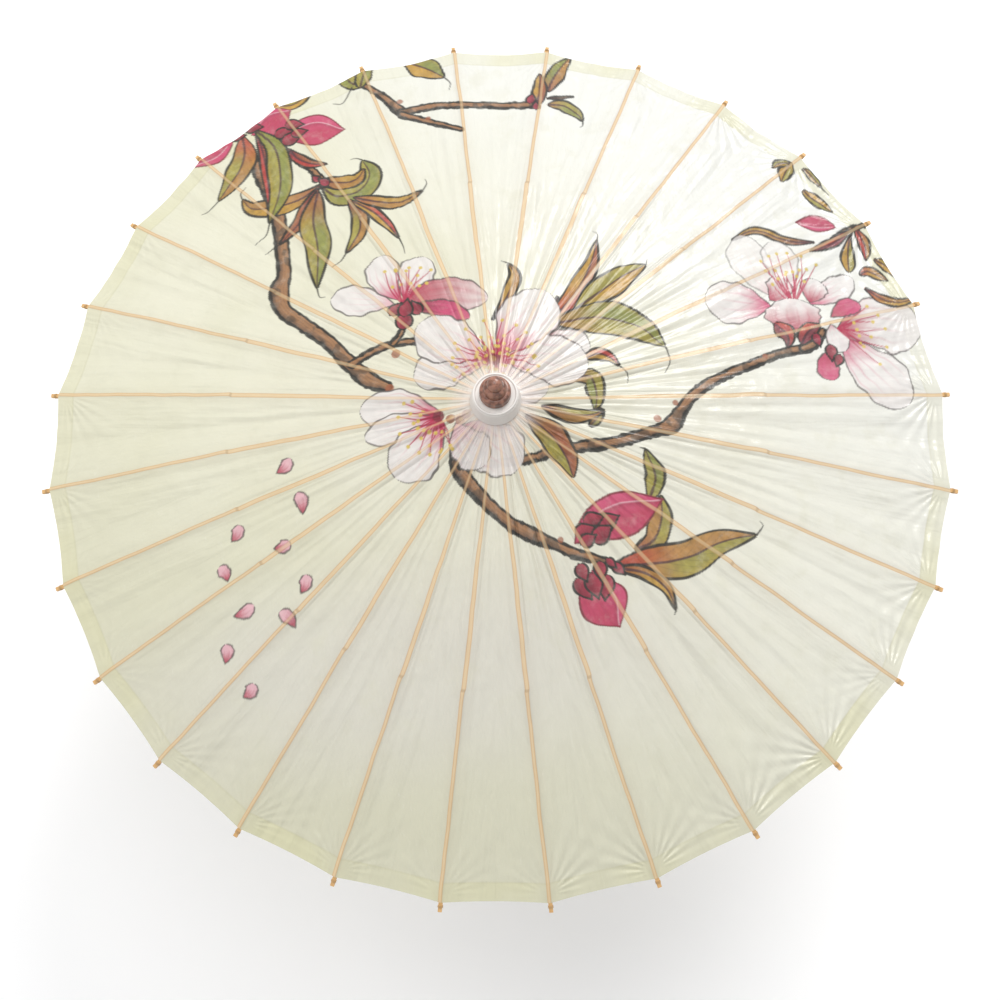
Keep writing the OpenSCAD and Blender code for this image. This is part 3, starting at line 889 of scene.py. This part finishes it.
def paint_middle(p):
    """The two wide blossoms round the cap, with their leaves."""
    p.leaf([(60, 84), (64, 92), (66, 104)], 6, MAROON, RUST, MAROON)
    p.leaf([(60, 80), (83, 106), (100, 136), (110, 164)], 19, RUST, GOLD, RED, full=0.35,
           hook=((111, 170), (107, 173)))
    p.leaf([(78, 87), (104, 106), (128, 122), (151, 134)], 25, GOLD, OLIVE, OLIVE, full=0.5,
           hook=((153, 140),))
    p.leaf([(58, 74), (96, 79), (132, 70), (156, 48)], 34, OLIVE, GREEN, OCHRE, full=0.5,
           hook=((158, 34), (152, 23)))
    p.leaf([(5, 82), (20, 104), (30, 127), (26, 143)], 12, OCHRE, GOLD, MAROON, full=0.6, hook=((20, 146),))
    p.leaf([(81, 38), (94, 42), (104, 39), (112, 30)], 11, GOLD, RED, OCHRE, hook=((118, 22), (117, 14)))
    p.leaf([(66, 18), (84, 20), (88, 4), (85, -12)], 17, GREEN, OLIVE, RUST, full=0.5)
    p.leaf([(90, -8), (86, -18), (78, -26)], 9, OCHRE, OLIVE, OCHRE)
    p.leaf([(38, -6), (56, -13), (76, -16), (94, -11)], 13, OCHRE, OLIVE, RUST)
    p.leaf([(24, -14), (42, -30), (54, -50), (59, -70)], 24, OLIVE, RUST, OCHRE, full=0.5)
    p.branch([(48, 56, 6), (60, 76, 6)])
    p.petal([(6, 36), (26, 18), (46, 8)], 40, BLUSH, depth=0.4)
    p.petal([(46, 56), (66, 56), (88, 48)], 28, CRIMSON, depth=0.5)
    p.petal([(10, 40), (44, 40), (84, 30)], 50, BLUSH, depth=0.45)
    p.petal([(-6, 37), (-36, 40), (-68, 34)], 40, BLUSH, depth=0.45)
    p.petal([(-3, 46), (-32, 64), (-60, 88)], 48, BLUSH, depth=0.5)
    p.petal([(7, 46), (30, 74), (58, 108)], 52, ROSE, depth=0.55)
    p.stamens(3, 41, -25, 205, 34, 16, 42)
    p.stamens(3, 41, 20, 340, 22, 8, 17)
    p.dot(3, 41, 6, MAROON)
    p.dot(2, 42, 3, OCHRE)


def paint_lower_left_blossom(p):
    """The blossom at the lower left of the cap."""
    p.petal([(-28, -16), (-10, -34), (14, -58)], 46, ROSE, depth=0.45)
    p.petal([(-36, -14), (-28, -34), (-14, -52)], 34, BLUSH)
    p.petal([(-48, -3), (-84, 8), (-118, 14)], 38, ROSE, depth=0.5)
    p.petal([(-50, -7), (-84, -8), (-116, -12)], 26, ROSE, depth=0.45)
    p.petal([(-46, -12), (-66, -28), (-92, -52)], 46, ROSE, depth=0.5)
    p.stamens(-50, -5, 140, 290, 24, 14, 36)
    p.dot(-50, -5, 5, MAROON)
    for x, y in ((-40, -9), (-32, -12), (-26, -8)):
        p.dot(x, y, 4, RUST)
        p.dot(x + 1, y + 1, 1.8, GOLD)


def paint_lower_buds(p):
    """Two buds and their leaves at the end of the lower branch."""
    p.leaf([(104, -134), (122, -126), (131, -108), (133, -88)], 20, OLIVE, OCHRE, RUST, full=0.5)
    p.leaf([(122, -92), (130, -74), (128, -60), (124, -47)], 17, GREEN, OLIVE, OLIVE, hook=((120, -46),))
    p.bud([(54, -124), (74, -110), (104, -101), (134, -92)], 38, full=0.54)
    p.scales((82, -109, 8), (70, -106, 7), (76, -119, 8), (62, -115, 7), (64, -123, 6), toward=(112, -96))
    p.leaf([(84, -144), (108, -142), (130, -138)], 9, RUST, RED, RED)
    p.leaf([(86, -145), (120, -146), (152, -142), (182, -131), (214, -126)], 30, OLIVE, OCHRE, RED,
           full=0.42, hook=((220, -119), (218, -115)))
    p.leaf([(88, -147), (112, -154), (128, -168), (134, -186)], 11, GOLD, OCHRE, RUST, hook=((132, -190),))
    p.bud([(66, -148), (70, -168), (84, -196)], 42, full=0.55)
    p.scales((56, -160, 8), (76, -160, 8), (66, -158, 8), (57, -147, 6), (73, -147, 6), toward=(72, -186))
    p.scales((88, -147, 5), (82, -142, 4), toward=(100, -160))


def paint_right_blossoms(p):
    """The paler pair of blossoms at the right."""
    p.leaf([(318, 158), (292, 160), (262, 172), (236, 160)], 9, GOLD, OCHRE, MAROON)
    p.petal([(268, 100), (252, 130), (246, 166)], 40, BLUSH, depth=0.35, cover=0.6)
    p.petal([(284, 104), (280, 132), (276, 160)], 34, BLUSH, depth=0.4, cover=0.6)
    p.petal([(262, 90), (232, 92), (200, 96)], 44, ROSE, depth=0.55)
    p.petal([(300, 92), (322, 104), (348, 120)], 26, ROSE, depth=0.6)
    p.petal([(262, 96), (272, 106), (276, 120)], 26, CRIMSON, depth=0.9)
    p.petal([(300, 94), (306, 106), (312, 118)], 26, CRIMSON, depth=0.9)
    p.stamens(285, 92, 55, 128, 17, 26, 54)
    p.petal([(283, 62), (282, 78), (282, 98)], 54, CRIMSON, depth=0.95, full=0.5)
    p.branch([(286, 46, 9), (296, 52, 12), (306, 62, 9)])
    p.leaf([(270, 46), (272, 58), (262, 72)], 18, RED, MAROON, MAROON, full=0.6)
    p.leaf([(284, 50), (292, 62), (306, 70)], 16, MAROON, RED, MAROON)
    p.petal([(312, 44), (306, 30), (308, 14)], 22, CRIMSON, ROSE, depth=0.8)
    p.petal([(322, 56), (346, 30), (378, -10)], 52, ROSE, depth=0.45)
    p.petal([(322, 66), (362, 72), (406, 66)], 56, CRIMSON, depth=0.5)
    p.petal([(316, 70), (318, 60), (326, 44)], 22, BLUSH, depth=0.3)
    p.petal([(318, 78), (334, 88), (350, 90)], 18, CRIMSON, ROSE, depth=0.8)
    p.stamens(322, 66, -45, 30, 12, 18, 50)
    p.scales((312, 44, 6), (318, 36, 5), (300, 56, 5), toward=(310, 20))


def paint_right_rim(p):
    """Small leaves and a bud near the right edge."""
    p.bud([(342, 176), (326, 180), (304, 182)], 19)
    p.branch([(336, 162, 3), (352, 172, 5), (376, 180, 4)])
    p.leaf([(356, 172), (336, 158), (310, 148)], 9, RED, MAROON, MAROON)
    p.leaf([(358, 172), (350, 152), (346, 126)], 14, GOLD, OLIVE, RED, full=0.7)
    p.leaf([(362, 174), (368, 156), (366, 140)], 12, RED, OCHRE, RED)
    p.leaf([(356, 124), (366, 128), (384, 118)], 11, GOLD, OCHRE, RED)
    p.leaf([(374, 142), (386, 134), (396, 120)], 11, GOLD, OLIVE, OCHRE)
    p.leaf([(358, 110), (372, 98), (388, 94), (409, 98)], 10, GOLD, OCHRE, RED)
    p.leaf([(312, 252), (306, 242), (298, 228)], 14, GOLD, OLIVE, GOLD)
    p.leaf([(312, 250), (300, 250), (292, 244)], 9, OLIVE, GOLD, OLIVE)
    p.leaf([(322, 244), (328, 240), (338, 222)], 8, GOLD, OLIVE, GOLD, hook=((344, 214),))
    p.leaf([(318, 220), (324, 212), (344, 194)], 12, OLIVE, GOLD, GOLD)


def paint_falling_petals(p):
    """Loose petals down the left side, where nothing else is painted."""
    drift = ((-190, -22, 40), (-178, -58, 100), (-197, -92, 15), (-181, -128, 70), (-198, -156, 130),
             (-238, -74, 60), (-252, -108, 120), (-236, -142, 20), (-256, -176, 85), (-238, -210, 45))
    for k, (x, y, turn) in enumerate(drift):
        a = math.radians(turn)
        half = (17 + 3 * math.sin(k * 2.0)) / 2
        step = (half * math.cos(a), half * math.sin(a))
        middle = (x + 2 * math.sin(a), y - 2 * math.cos(a))
        p.petal([(x - step[0], y - step[1]), middle, (x + step[0], y + step[1])],
                11.5, CRIMSON, BLUSH, depth=0.75, veins=0.4)


def paint(x, y):
    """Linear colour and coverage of the whole design at plan points in metres."""
    p = Painter(x / MM, y / MM)
    for part in (
            paint_branches, paint_upper_left, paint_top, paint_left_blossom, paint_middle,
            paint_lower_left_blossom, paint_lower_buds, paint_right_blossoms, paint_right_rim,
            paint_falling_petals):
        part(p)
    return p.colour * PIGMENT, p.cover


# ---------------------------------------------------------------- paper strips

PLEAT = 1.7 * MM                                # dip of the paper between two ribs, near the cap
SAG = 1.7 * MM                                  # and what the outer half adds to it
LIVELY_SIDE = math.radians(-20)                 # the paper creases most towards here
EDGE_BOW = 1.6 * MM                             # how far the edge draws in between two ribs
WAVE_HEIGHT = 0.42 * MM
FOLD_WIDTH = 1.2 * MM
GATHERS, GATHER_HEIGHT = 3, 0.35 * MM           # pleats a gap under the cap
FAN_REACH, FAN_HEIGHT = 34 * MM, 0.8 * MM
LOOSE = 9 * MM                                  # from the edge in to where a rib's fan of creases starts
CREASES = 5                                     # straight folds in each gap


def smoothstep(value, low, high):
    """0 below low, 1 above high, with a soft rise between them."""
    t = np.clip((value - low) / (high - low), 0, 1)
    return t * t * (3 - 2 * t)


def ridge(t):
    """Radius and height of the paper over a rib, t from 0 at the hole to 1 at the edge."""
    radius = HOLE_R + (EDGE_R - HOLE_R) * t
    inner = HOLE_Z + (radius - HOLE_R) * (JOINT_Z - HOLE_Z) / (JOINT_R - HOLE_R)
    outer = JOINT_Z + (radius - JOINT_R) * (EDGE_Z - JOINT_Z) / (EDGE_R - JOINT_R)
    return radius, np.where(radius < JOINT_R, inner, outer)


def dip(radius):
    """How far the paper hangs below the straight line between two ribs, at mid gap."""
    pleat = PLEAT * smoothstep(radius, 0.021, 0.034) * (1 - 0.6 * smoothstep(radius, 0.06, 0.2))
    return pleat + SAG * smoothstep(radius, 0.10, 0.40)


def hang(share, radius, half):
    """Share of the dip at each point: none over the rib's back, then a soft fall to mid gap."""
    back = (1.2 + smoothstep(radius, 0.03, 0.2)) * MM
    beside = np.minimum(share, 1 - share) * 2 * half - back
    free = np.clip(beside / np.maximum(half - back, 0.3 * MM), 0, 1)
    return (1 - (1 - free) ** 2) * free / (free + 0.12) * 1.12


def slow_waves(rng, share, radius):
    """Broad waves that wander along the gap."""
    height = np.zeros_like(share)
    for waves in (1.5, 2.3, 3.4, 5):
        phase, drift = rng.uniform(0, 2 * np.pi, 2)
        slow = 1 + 0.6 * np.sin(radius * rng.uniform(18, 42) + drift)
        turn = 2 * np.pi * waves * share + phase + radius * rng.uniform(-9, 9)
        height += WAVE_HEIGHT / waves ** 0.5 * slow * np.sin(turn)
    return height * smoothstep(radius, 0.04, 0.16)


def folds_beside_ribs(rng, share, radius, half):
    """A long crease a few millimetres from each of the two ribs."""
    height = np.zeros_like(share)
    for end in (0, 1):
        off = np.abs(share - end) * 2 * half - rng.uniform(4.0, 6.0) * MM
        stop = rng.uniform(0.12, 0.34)
        fade = smoothstep(radius, 0.035, 0.06) * (1 - smoothstep(radius, stop - 0.06, stop))
        height -= rng.uniform(0.35, 0.9) * MM * np.exp(-(off / FOLD_WIDTH) ** 2) * fade
    return height


def crease_lines(rng, share, radius, half):
    """A few straight, narrow folds that run along the gap."""
    height = np.zeros_like(share)
    for _ in range(CREASES):
        near, far = rng.uniform(0.06, 0.94, 2)
        start = rng.uniform(0.02, 0.2)
        stop = start + rng.uniform(0.1, 0.3)
        place = near + (far - near) * 0.35 * radius / EDGE_R
        off = (share - place) * 2 * half / (rng.uniform(1.6, 3.0) * MM)
        fade = smoothstep(radius, start, start + 0.04) * (1 - smoothstep(radius, stop - 0.05, stop))
        height += rng.uniform(-0.3, 0.45) * MM * np.exp(-np.abs(off) ** 1.4) * fade
    return height


def gathers(rng, share, radius):
    """Small pleats where the paper is gathered under the cap."""
    height = GATHER_HEIGHT * np.sin(2 * np.pi * GATHERS * share + rng.uniform(0, 6))
    return height * smoothstep(radius, 0.022, 0.03) * (1 - smoothstep(radius, 0.05, 0.12))


def fans_at_tips(rng, share, radius, half, lively):
    """Fans of creases that start at the two rib ends."""
    height = np.zeros_like(share)
    for end, strength in enumerate(rng.uniform(0.35, 1.0, 2) * lively):
        sideways = np.abs(share - end) * 2 * half
        inward = np.maximum(EDGE_R - LOOSE - radius, -LOOSE)
        reach = np.hypot(sideways, inward)
        turn = np.arctan2(sideways, inward + 2 * MM)
        folds = np.cos(turn * rng.uniform(19, 25) + rng.uniform(0, 6.28))
        fade = np.exp(-reach / FAN_REACH) * smoothstep(reach, 3 * MM, 16 * MM) * smoothstep(turn, 0.02, 0.2)
        height += FAN_HEIGHT * strength * folds * fade
    return height * (1 - smoothstep(radius, EDGE_R - 10 * MM, EDGE_R))


def gap_ripple(gap, share, radius, half):
    """Wrinkles of the paper in one gap, share from 0 at its first rib to 1 at its next."""
    rng = np.random.default_rng(100 + gap)
    side = np.sin(np.pi * share)
    on_lively_side = math.cos(azimuth(gap) + HALF_GAP - LIVELY_SIDE) > 0.25
    lively = 1.5 if on_lively_side else 0.9
    height = lively * side * slow_waves(rng, share, radius)
    height += lively * folds_beside_ribs(rng, share, radius, half)
    height += lively * side * crease_lines(rng, share, radius, half)
    height += side * gathers(rng, share, radius)
    return height + fans_at_tips(rng, share, radius, half, 1.6 if on_lively_side else 0.7)


def strip_shape(i, t, u):
    """Points of strip i, which is centred on rib i. t runs from hole to edge, u from -1 to 1 across."""
    radius, height = ridge(t)
    outward, sideways, up = (np.array(direction) for direction in rib_frame(i))
    amount = np.abs(u)
    share = np.where(u >= 0, amount / 2, 1 - amount / 2)
    half = radius * math.sin(HALF_GAP)
    z = height - dip(radius) * hang(share, radius, half)
    for gap, chosen in ((i, u >= 0), ((i - 1) % RIBS, u < 0)):
        z[chosen] += gap_ripple(gap, share[chosen], radius[chosen], half[chosen])
    edge_bow = EDGE_BOW * (1 - (1 - amount) ** 2) * smoothstep(radius, EDGE_R - 0.05, EDGE_R)
    x = radius - amount * radius * math.sin(HALF_GAP) ** 2 - edge_bow
    y = u * radius * math.cos(HALF_GAP) * math.sin(HALF_GAP)
    return x[:, None] * outward + y[:, None] * sideways + z[:, None] * up, y, radius


def make_strip(i, rows, columns):
    """One strip of paper, half a gap to each side of its rib."""
    bm = bmesh.new()
    bmesh.ops.create_grid(bm, x_segments=columns, y_segments=rows, size=1)
    strip = finish_mesh(f"canopy_strip_{i + 1:02d}", bm)
    mesh = strip.data
    flat = np.zeros(len(mesh.vertices) * 3)
    mesh.vertices.foreach_get("co", flat)
    u, v = flat.reshape(-1, 3)[:, 0], flat.reshape(-1, 3)[:, 1]
    points, across, radius = strip_shape(i, (v + 1) / 2, u)
    mesh.vertices.foreach_set("co", points.ravel())
    corners = np.zeros(len(mesh.loops), int)
    mesh.loops.foreach_get("vertex_index", corners)
    cut = mesh.uv_layers.new(name="Cut")
    cut.data.foreach_set("uv", np.stack([across, down_slope(radius)], 1)[corners].ravel())
    mesh.update()
    if mesh.polygons[0].normal.z < 0:
        mesh.flip_normals()
    seed = mesh.attributes.new("seed", "FLOAT", "POINT")
    seed.data.foreach_set("value", np.full(len(mesh.vertices), i * 0.37))
    mesh.materials.append(PAPER)
    return strip, points


def is_painted(i):
    """True when part of the design lies on strip i."""
    u, v = np.meshgrid(np.linspace(-1, 1, 31), np.linspace(0, 1, 161))
    points, _, _ = strip_shape(i, v.ravel(), u.ravel())
    return paint(points[:, 0], points[:, 1])[1].max() > 0.1


def make_canopy():
    """All strips, finer where they are painted, with the design as a colour attribute."""
    strips = []
    for i in range(RIBS):
        size = FINE if is_painted(i) else PLAIN
        strips.append((i, *make_strip(i, *size)))
    everywhere = np.vstack([points for _, _, points in strips])
    colour, cover = paint(everywhere[:, 0], everywhere[:, 1])
    rgba = np.hstack([colour, cover[:, None]])
    start = 0
    for _, strip, points in strips:
        layer = strip.data.attributes.new("paint", "FLOAT_COLOR", "POINT")
        layer.data.foreach_set("color", rgba[start:start + len(points)].ravel())
        start += len(points)
    return strips


def settle_canopy(strips):
    """Each strip rides its rib, in the CAD canopy's place, with a mesh of its own."""
    for i, strip, _ in strips:
        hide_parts("canopy")
        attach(strip, body_name(i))
        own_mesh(strip)


# ---------------------------------------------------------------- turned and wire pieces

SHAFT_R = 6 * MM
SEAT = 0.02 * MM                                # air between two pieces that are fixed together
RUN_FIT = 0.06 * MM                             # air between the runner and the rod
BORE = SHAFT_R + SEAT
HUB_R = runner_high.x
PIVOT_R = pivot.x
SLOT_HALF = 1.15 * MM
SLOT_FLOOR_R = 12.5 * MM
SLOT_BEVEL = 0.35 * MM
NOTCH_LOW, NOTCH_TOP = HUB_Z - 7 * MM, HUB_Z + 1.2 * MM
NECK_R = 10.5 * MM
NECK_TOP = HUB_Z + 12 * MM
CAP_TOP = HUB_Z + 20 * MM
CAP_TOP_R = 19.2 * MM
CAP_FOOT_R = 22 * MM
PAPER_GAP = 0.35 * MM                           # air between the cap and the paper
CAP_FOOT = HOLE_Z - (CAP_FOOT_R - HOLE_R) * math.tan(SLOPE) + PAPER_GAP
RIM_W = 2.2 * MM
ROD_FOOT, ROD_TOP = 8 * MM, CAP_TOP + 9 * MM
TIERS = (                                       # radius, height and rounding of each finial tier
    (13.4 * MM, 10.44 * MM, 3.2 * MM), (9.65 * MM, 8.7 * MM, 3.2 * MM), (6.7 * MM, 9.86 * MM, 6.1 * MM))
RUNNER_TOP = runner_high.z
RUNNER_Z = RUNNER_TOP - 11 * MM
RUNNER_LOW = runner_low.z
GRIP_R = 11.2 * MM
HEAD_HALF = 6 * MM
HANDLE_R = 9.5 * MM
HANDLE_LEN = 90 * MM
HANDLE_RINGS = (22 * MM, 26 * MM, 66 * MM, 70 * MM)
COLLAR_R = 9.6 * MM
COLLAR_FOOT = RUNNER_TOP + 0.1 * MM
COLLAR_H = 5 * MM
WIRE_R = 0.5 * MM
THREAD_R = 0.26 * MM
WRAP_R = 2.15 * MM                              # of a turn of thread round a rib
WRAP_SINK = 2.15 * MM                           # its centre under the paper's edge
WRAP_START, WRAP_STEP = 2.0 * MM, 0.75 * MM


def ridge_top(r):
    """Height of the paper's upper face over a rib, near the middle."""
    return HOLE_Z - (r - HOLE_R) * math.tan(SLOPE)


def groove(radius, level, half, depth):
    """Outline of a V groove cut into a turned piece."""
    return [(radius, level - half), (radius - depth, level), (radius, level + half)]


def make_finial():
    """Three rounded tiers, the lower two with a fine groove, bored for the rod's top."""
    level = CAP_TOP + SEAT
    foot = 0.9 * MM
    outline = [(0, ROD_TOP + SEAT), (BORE, ROD_TOP + SEAT), (BORE, level)]
    for k, (r, height, soft) in enumerate(TIERS):
        outline += arc((r - foot, level + foot), foot, -90, 0, 4)
        if k < 2:
            outline += groove(r, level + height * 0.42, 0.45 * MM, 0.3 * MM)
        outline += arc((r - soft, level + height - soft), soft, 0, 90, 8)
        level += height
    return spun("finial", outline + [(0, level)], sharp=40)


def make_cap():
    """White cone that sits over the paper, with a raised rim and rounded edges."""
    inner = NECK_R + SEAT
    roof = NECK_TOP + SEAT
    outline = [(inner, ridge_top(NECK_R) + PAPER_GAP), (CAP_FOOT_R - 0.7 * MM, CAP_FOOT)]
    outline += arc((CAP_FOOT_R - 0.8 * MM, CAP_FOOT + 0.9 * MM), 0.8 * MM, -70, 10, 5)
    outline += [(CAP_FOOT_R - 0.1 * MM, CAP_FOOT + 3 * MM), (CAP_TOP_R + 0.5 * MM, CAP_TOP - 2.4 * MM)]
    outline += [(CAP_TOP_R, CAP_TOP - 2.1 * MM), (CAP_TOP_R, CAP_TOP - 0.6 * MM)]
    outline += arc((CAP_TOP_R - RIM_W / 2, CAP_TOP - 0.1 * MM), RIM_W / 2, 15, 165, 9)
    outline += [(CAP_TOP_R - RIM_W, CAP_TOP), (BORE, CAP_TOP), (BORE, roof), (inner, roof)]
    return spun("cap", outline + outline[:1], sharp=34)


def slotted_disk(name, radius, bore, low, high):
    """A disk with one radial slot under each rib, open at the rim and at both faces."""
    bm = bmesh.new()
    floor_half = math.asin(SLOT_HALF / SLOT_FLOOR_R)
    rim_half = math.asin(SLOT_HALF / radius)

    def spot(r, turn):
        return bm.verts.new((r * math.cos(turn), r * math.sin(turn), low))

    corners = [azimuth(i) + side * floor_half for i in range(RIBS) for side in (-1, 1)]
    floors = [spot(SLOT_FLOOR_R, turn) for turn in corners]
    hole = [spot(bore, turn) for turn in corners]
    floors, hole = floors + floors[:1], hole + hole[:1]
    faces = [bm.faces.new((*floors[k:k + 2], hole[k + 1], hole[k])) for k in range(len(corners))]
    step = (2 * HALF_GAP - 2 * rim_half) / 4
    for i in range(RIBS):
        rim = [spot(radius, azimuth(i) + rim_half + step * k) for k in range(5)]
        faces.append(bm.faces.new([floors[2 * i + 1], *rim, floors[2 * i + 2]]))
    thicken(bm, faces, (0, 0, high - low))
    rims = [
        edge for edge in bm.edges
        if len(edge.link_faces) == 2 and edge.calc_face_angle() > 1.2
        and abs(edge.verts[0].co.z - edge.verts[1].co.z) < 1e-6
        and min(vert.co.xy.length for vert in edge.verts) > SLOT_FLOOR_R + 0.3 * MM]
    bmesh.ops.bevel(
        bm, geom=rims, offset=SLOT_BEVEL, offset_type="OFFSET", segments=2, profile=0.5,
        affect="EDGES", material=-1, clamp_overlap=True)
    piece = finish_mesh(name, bm)
    piece.data.set_sharp_from_angle(angle=math.radians(35))
    return piece


def ring(name, radius, wire, height):
    """A ring of round wire, level, round the shaft's axis."""
    bm = bmesh.new()
    wire_loop(bm, Vector((0, 0, height)), Vector((1, 0, 0)), Vector((0, 1, 0)), radius, wire, 8, 112)
    return finish_mesh(name, bm)


def washer(r_in, r_out, low, high, soft):
    """Closed outline of a turned ring with rounded outer corners, for spun()."""
    return (
        [(r_in, high), (r_in, low)]
        + arc((r_out - soft, low + soft), soft, -90, 0, 4)
        + arc((r_out - soft, high - soft), soft, 0, 90, 4) + [(r_in, high)])


def make_crown(wood, paint_white, wire, dark):
    """Slotted notch with its wire ring, neck, white cap and finial, fixed on the rod's top."""
    neck = washer(BORE, NECK_R, NOTCH_TOP + SEAT, NECK_TOP, 0.4 * MM)
    for piece, material in (
            (slotted_disk("notch", HUB_R, BORE, NOTCH_LOW, NOTCH_TOP), wood),
            (spun("notch_neck", neck), wood),
            (ring("notch_wire", PIVOT_R, WIRE_R, HUB_Z), wire),
            (make_cap(), paint_white),
            (make_finial(), dark)):
        mount(piece, material, "frame", "crown")


def make_shaft(pale, dark):
    """Rod, stop collar and turned handle."""
    edge = 0.4 * MM
    rod = [(0, ROD_FOOT), (SHAFT_R - edge, ROD_FOOT), (SHAFT_R, ROD_FOOT + edge),
           (SHAFT_R, ROD_TOP - edge), (SHAFT_R - edge, ROD_TOP), (0, ROD_TOP)]
    collar = washer(BORE, COLLAR_R, COLLAR_FOOT, COLLAR_FOOT + COLLAR_H, 1 * MM)
    soft = 2.5 * MM
    handle = [(0, 0), (HANDLE_R - soft, 0)] + arc((HANDLE_R - soft, soft), soft, -90, 0, 6)
    for level in HANDLE_RINGS:
        handle += groove(HANDLE_R, level, 0.7 * MM, 0.45 * MM)
    handle += arc((HANDLE_R - soft, HANDLE_LEN - soft), soft, 0, 90, 6)
    handle += [(BORE, HANDLE_LEN), (BORE, ROD_FOOT - SEAT), (0, ROD_FOOT - SEAT)]
    for piece, material in (
            (spun("shaft_rod", rod, sides=64), pale),
            (spun("stop_collar", collar), pale),
            (spun("handle", handle), dark)):
        mount(piece, material, "frame", "shaft")


def make_runner(wood, wire):
    """Slotted head, wire ring through the stretchers' feet, grooved grip and neck."""
    bore = SHAFT_R + RUN_FIT
    head_foot = RUNNER_Z - HEAD_HALF
    neck = NECK_R - SEAT
    soft = 1.2 * MM
    outline = [(bore, RUNNER_TOP), (bore, RUNNER_LOW)]
    outline += arc((GRIP_R - soft, RUNNER_LOW + soft), soft, -90, 0, 5)
    for share in (0.3, 0.5, 0.7):
        outline += groove(GRIP_R, RUNNER_LOW + share * (head_foot - RUNNER_LOW), 0.9 * MM, 0.6 * MM)
    outline += [(GRIP_R, head_foot - SEAT), (neck, head_foot - SEAT), (neck, RUNNER_TOP - 0.8 * MM)]
    outline += [(NECK_R - 0.8 * MM, RUNNER_TOP), (bore, RUNNER_TOP)]
    for piece, material in (
            (slotted_disk("runner_head", HUB_R, NECK_R, head_foot, RUNNER_Z + HEAD_HALF), wood),
            (spun("runner_grip", outline), wood),
            (ring("runner_wire", PIVOT_R, WIRE_R, RUNNER_Z), wire)):
        mount(piece, material, "runner", "runner")


def make_latch(wire):
    """Bent leaf spring let into the rod, which holds the open runner up and goes flush as it slides down."""
    half = 1.1 * MM
    top = RUNNER_LOW - 0.3 * MM
    profile = (                                 # height below the runner and distance from the axis
        (-30 * MM, SHAFT_R - 0.1 * MM), (-8 * MM, SHAFT_R + 2.0 * MM),
        (-2 * MM, SHAFT_R + 2.6 * MM), (-0.4 * MM, SHAFT_R + 2.4 * MM))
    bm = bmesh.new()
    front, back = ([bm.verts.new((x, -r, top + z)) for z, r in profile] for x in (half, -half))
    faces = [bm.faces.new((*front[k:k + 2], back[k + 1], back[k])) for k in range(3)]
    thicken(bm, faces, (0, 0.6 * MM, -0.2 * MM))
    latch = finish_mesh("latch_spring", bm, smooth=False)
    mount(latch, wire, "frame")
    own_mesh(latch)


def make_tip_wraps(material):
    """Three turns of thread round each rib, just outside the paper's edge."""
    for i in range(RIBS):
        outward, sideways, up = rib_frame(i)
        steep = (up + outward * math.tan(SLOPE)).normalized()
        bm = bmesh.new()
        for k in range(3):
            past_edge = WRAP_START + WRAP_STEP * k
            level = EDGE_Z - WRAP_SINK - past_edge * math.tan(SLOPE)
            centre = outward * (EDGE_R + past_edge) + up * level
            wire_loop(bm, centre, steep, sideways, WRAP_R, THREAD_R, 5, 16)
        mount(finish_mesh(f"tip_thread_{i + 1:02d}", bm), material, body_name(i))


# ---------------------------------------------------------------- run

make_camera()
make_studio()
settle_canopy(make_canopy())

rib_bamboo = bamboo("rib_bamboo", linear("#DDB680"), linear("#BE9054"), (0.11, 0.3))
stretcher_bamboo = bamboo("stretcher_bamboo", linear("#E0BC86"), linear("#C59A60"), (0.16,))
pale_wood = turned_wood("pale_turned_wood", linear("#C99B68"), linear("#8F6239"), 0.15)
dark_wood = turned_wood("dark_turned_wood", linear("#A4705A"), linear("#5C382A"), 0.6)
steel = drawn_wire()

make_crown(pale_wood, lacquered_white(), steel, dark_wood)
make_shaft(pale_wood, dark_wood)
make_runner(pale_wood, steel)
make_latch(steel)
make_tip_wraps(waxed_thread())
for i in range(RIBS):
    for name, finish in ((f"rib_{i + 1:02d}", rib_bamboo), (f"stretcher_{i + 1:02d}", stretcher_bamboo)):
        slots = frame["nodes"][name].data.materials
        slots.clear()
        slots.append(finish)
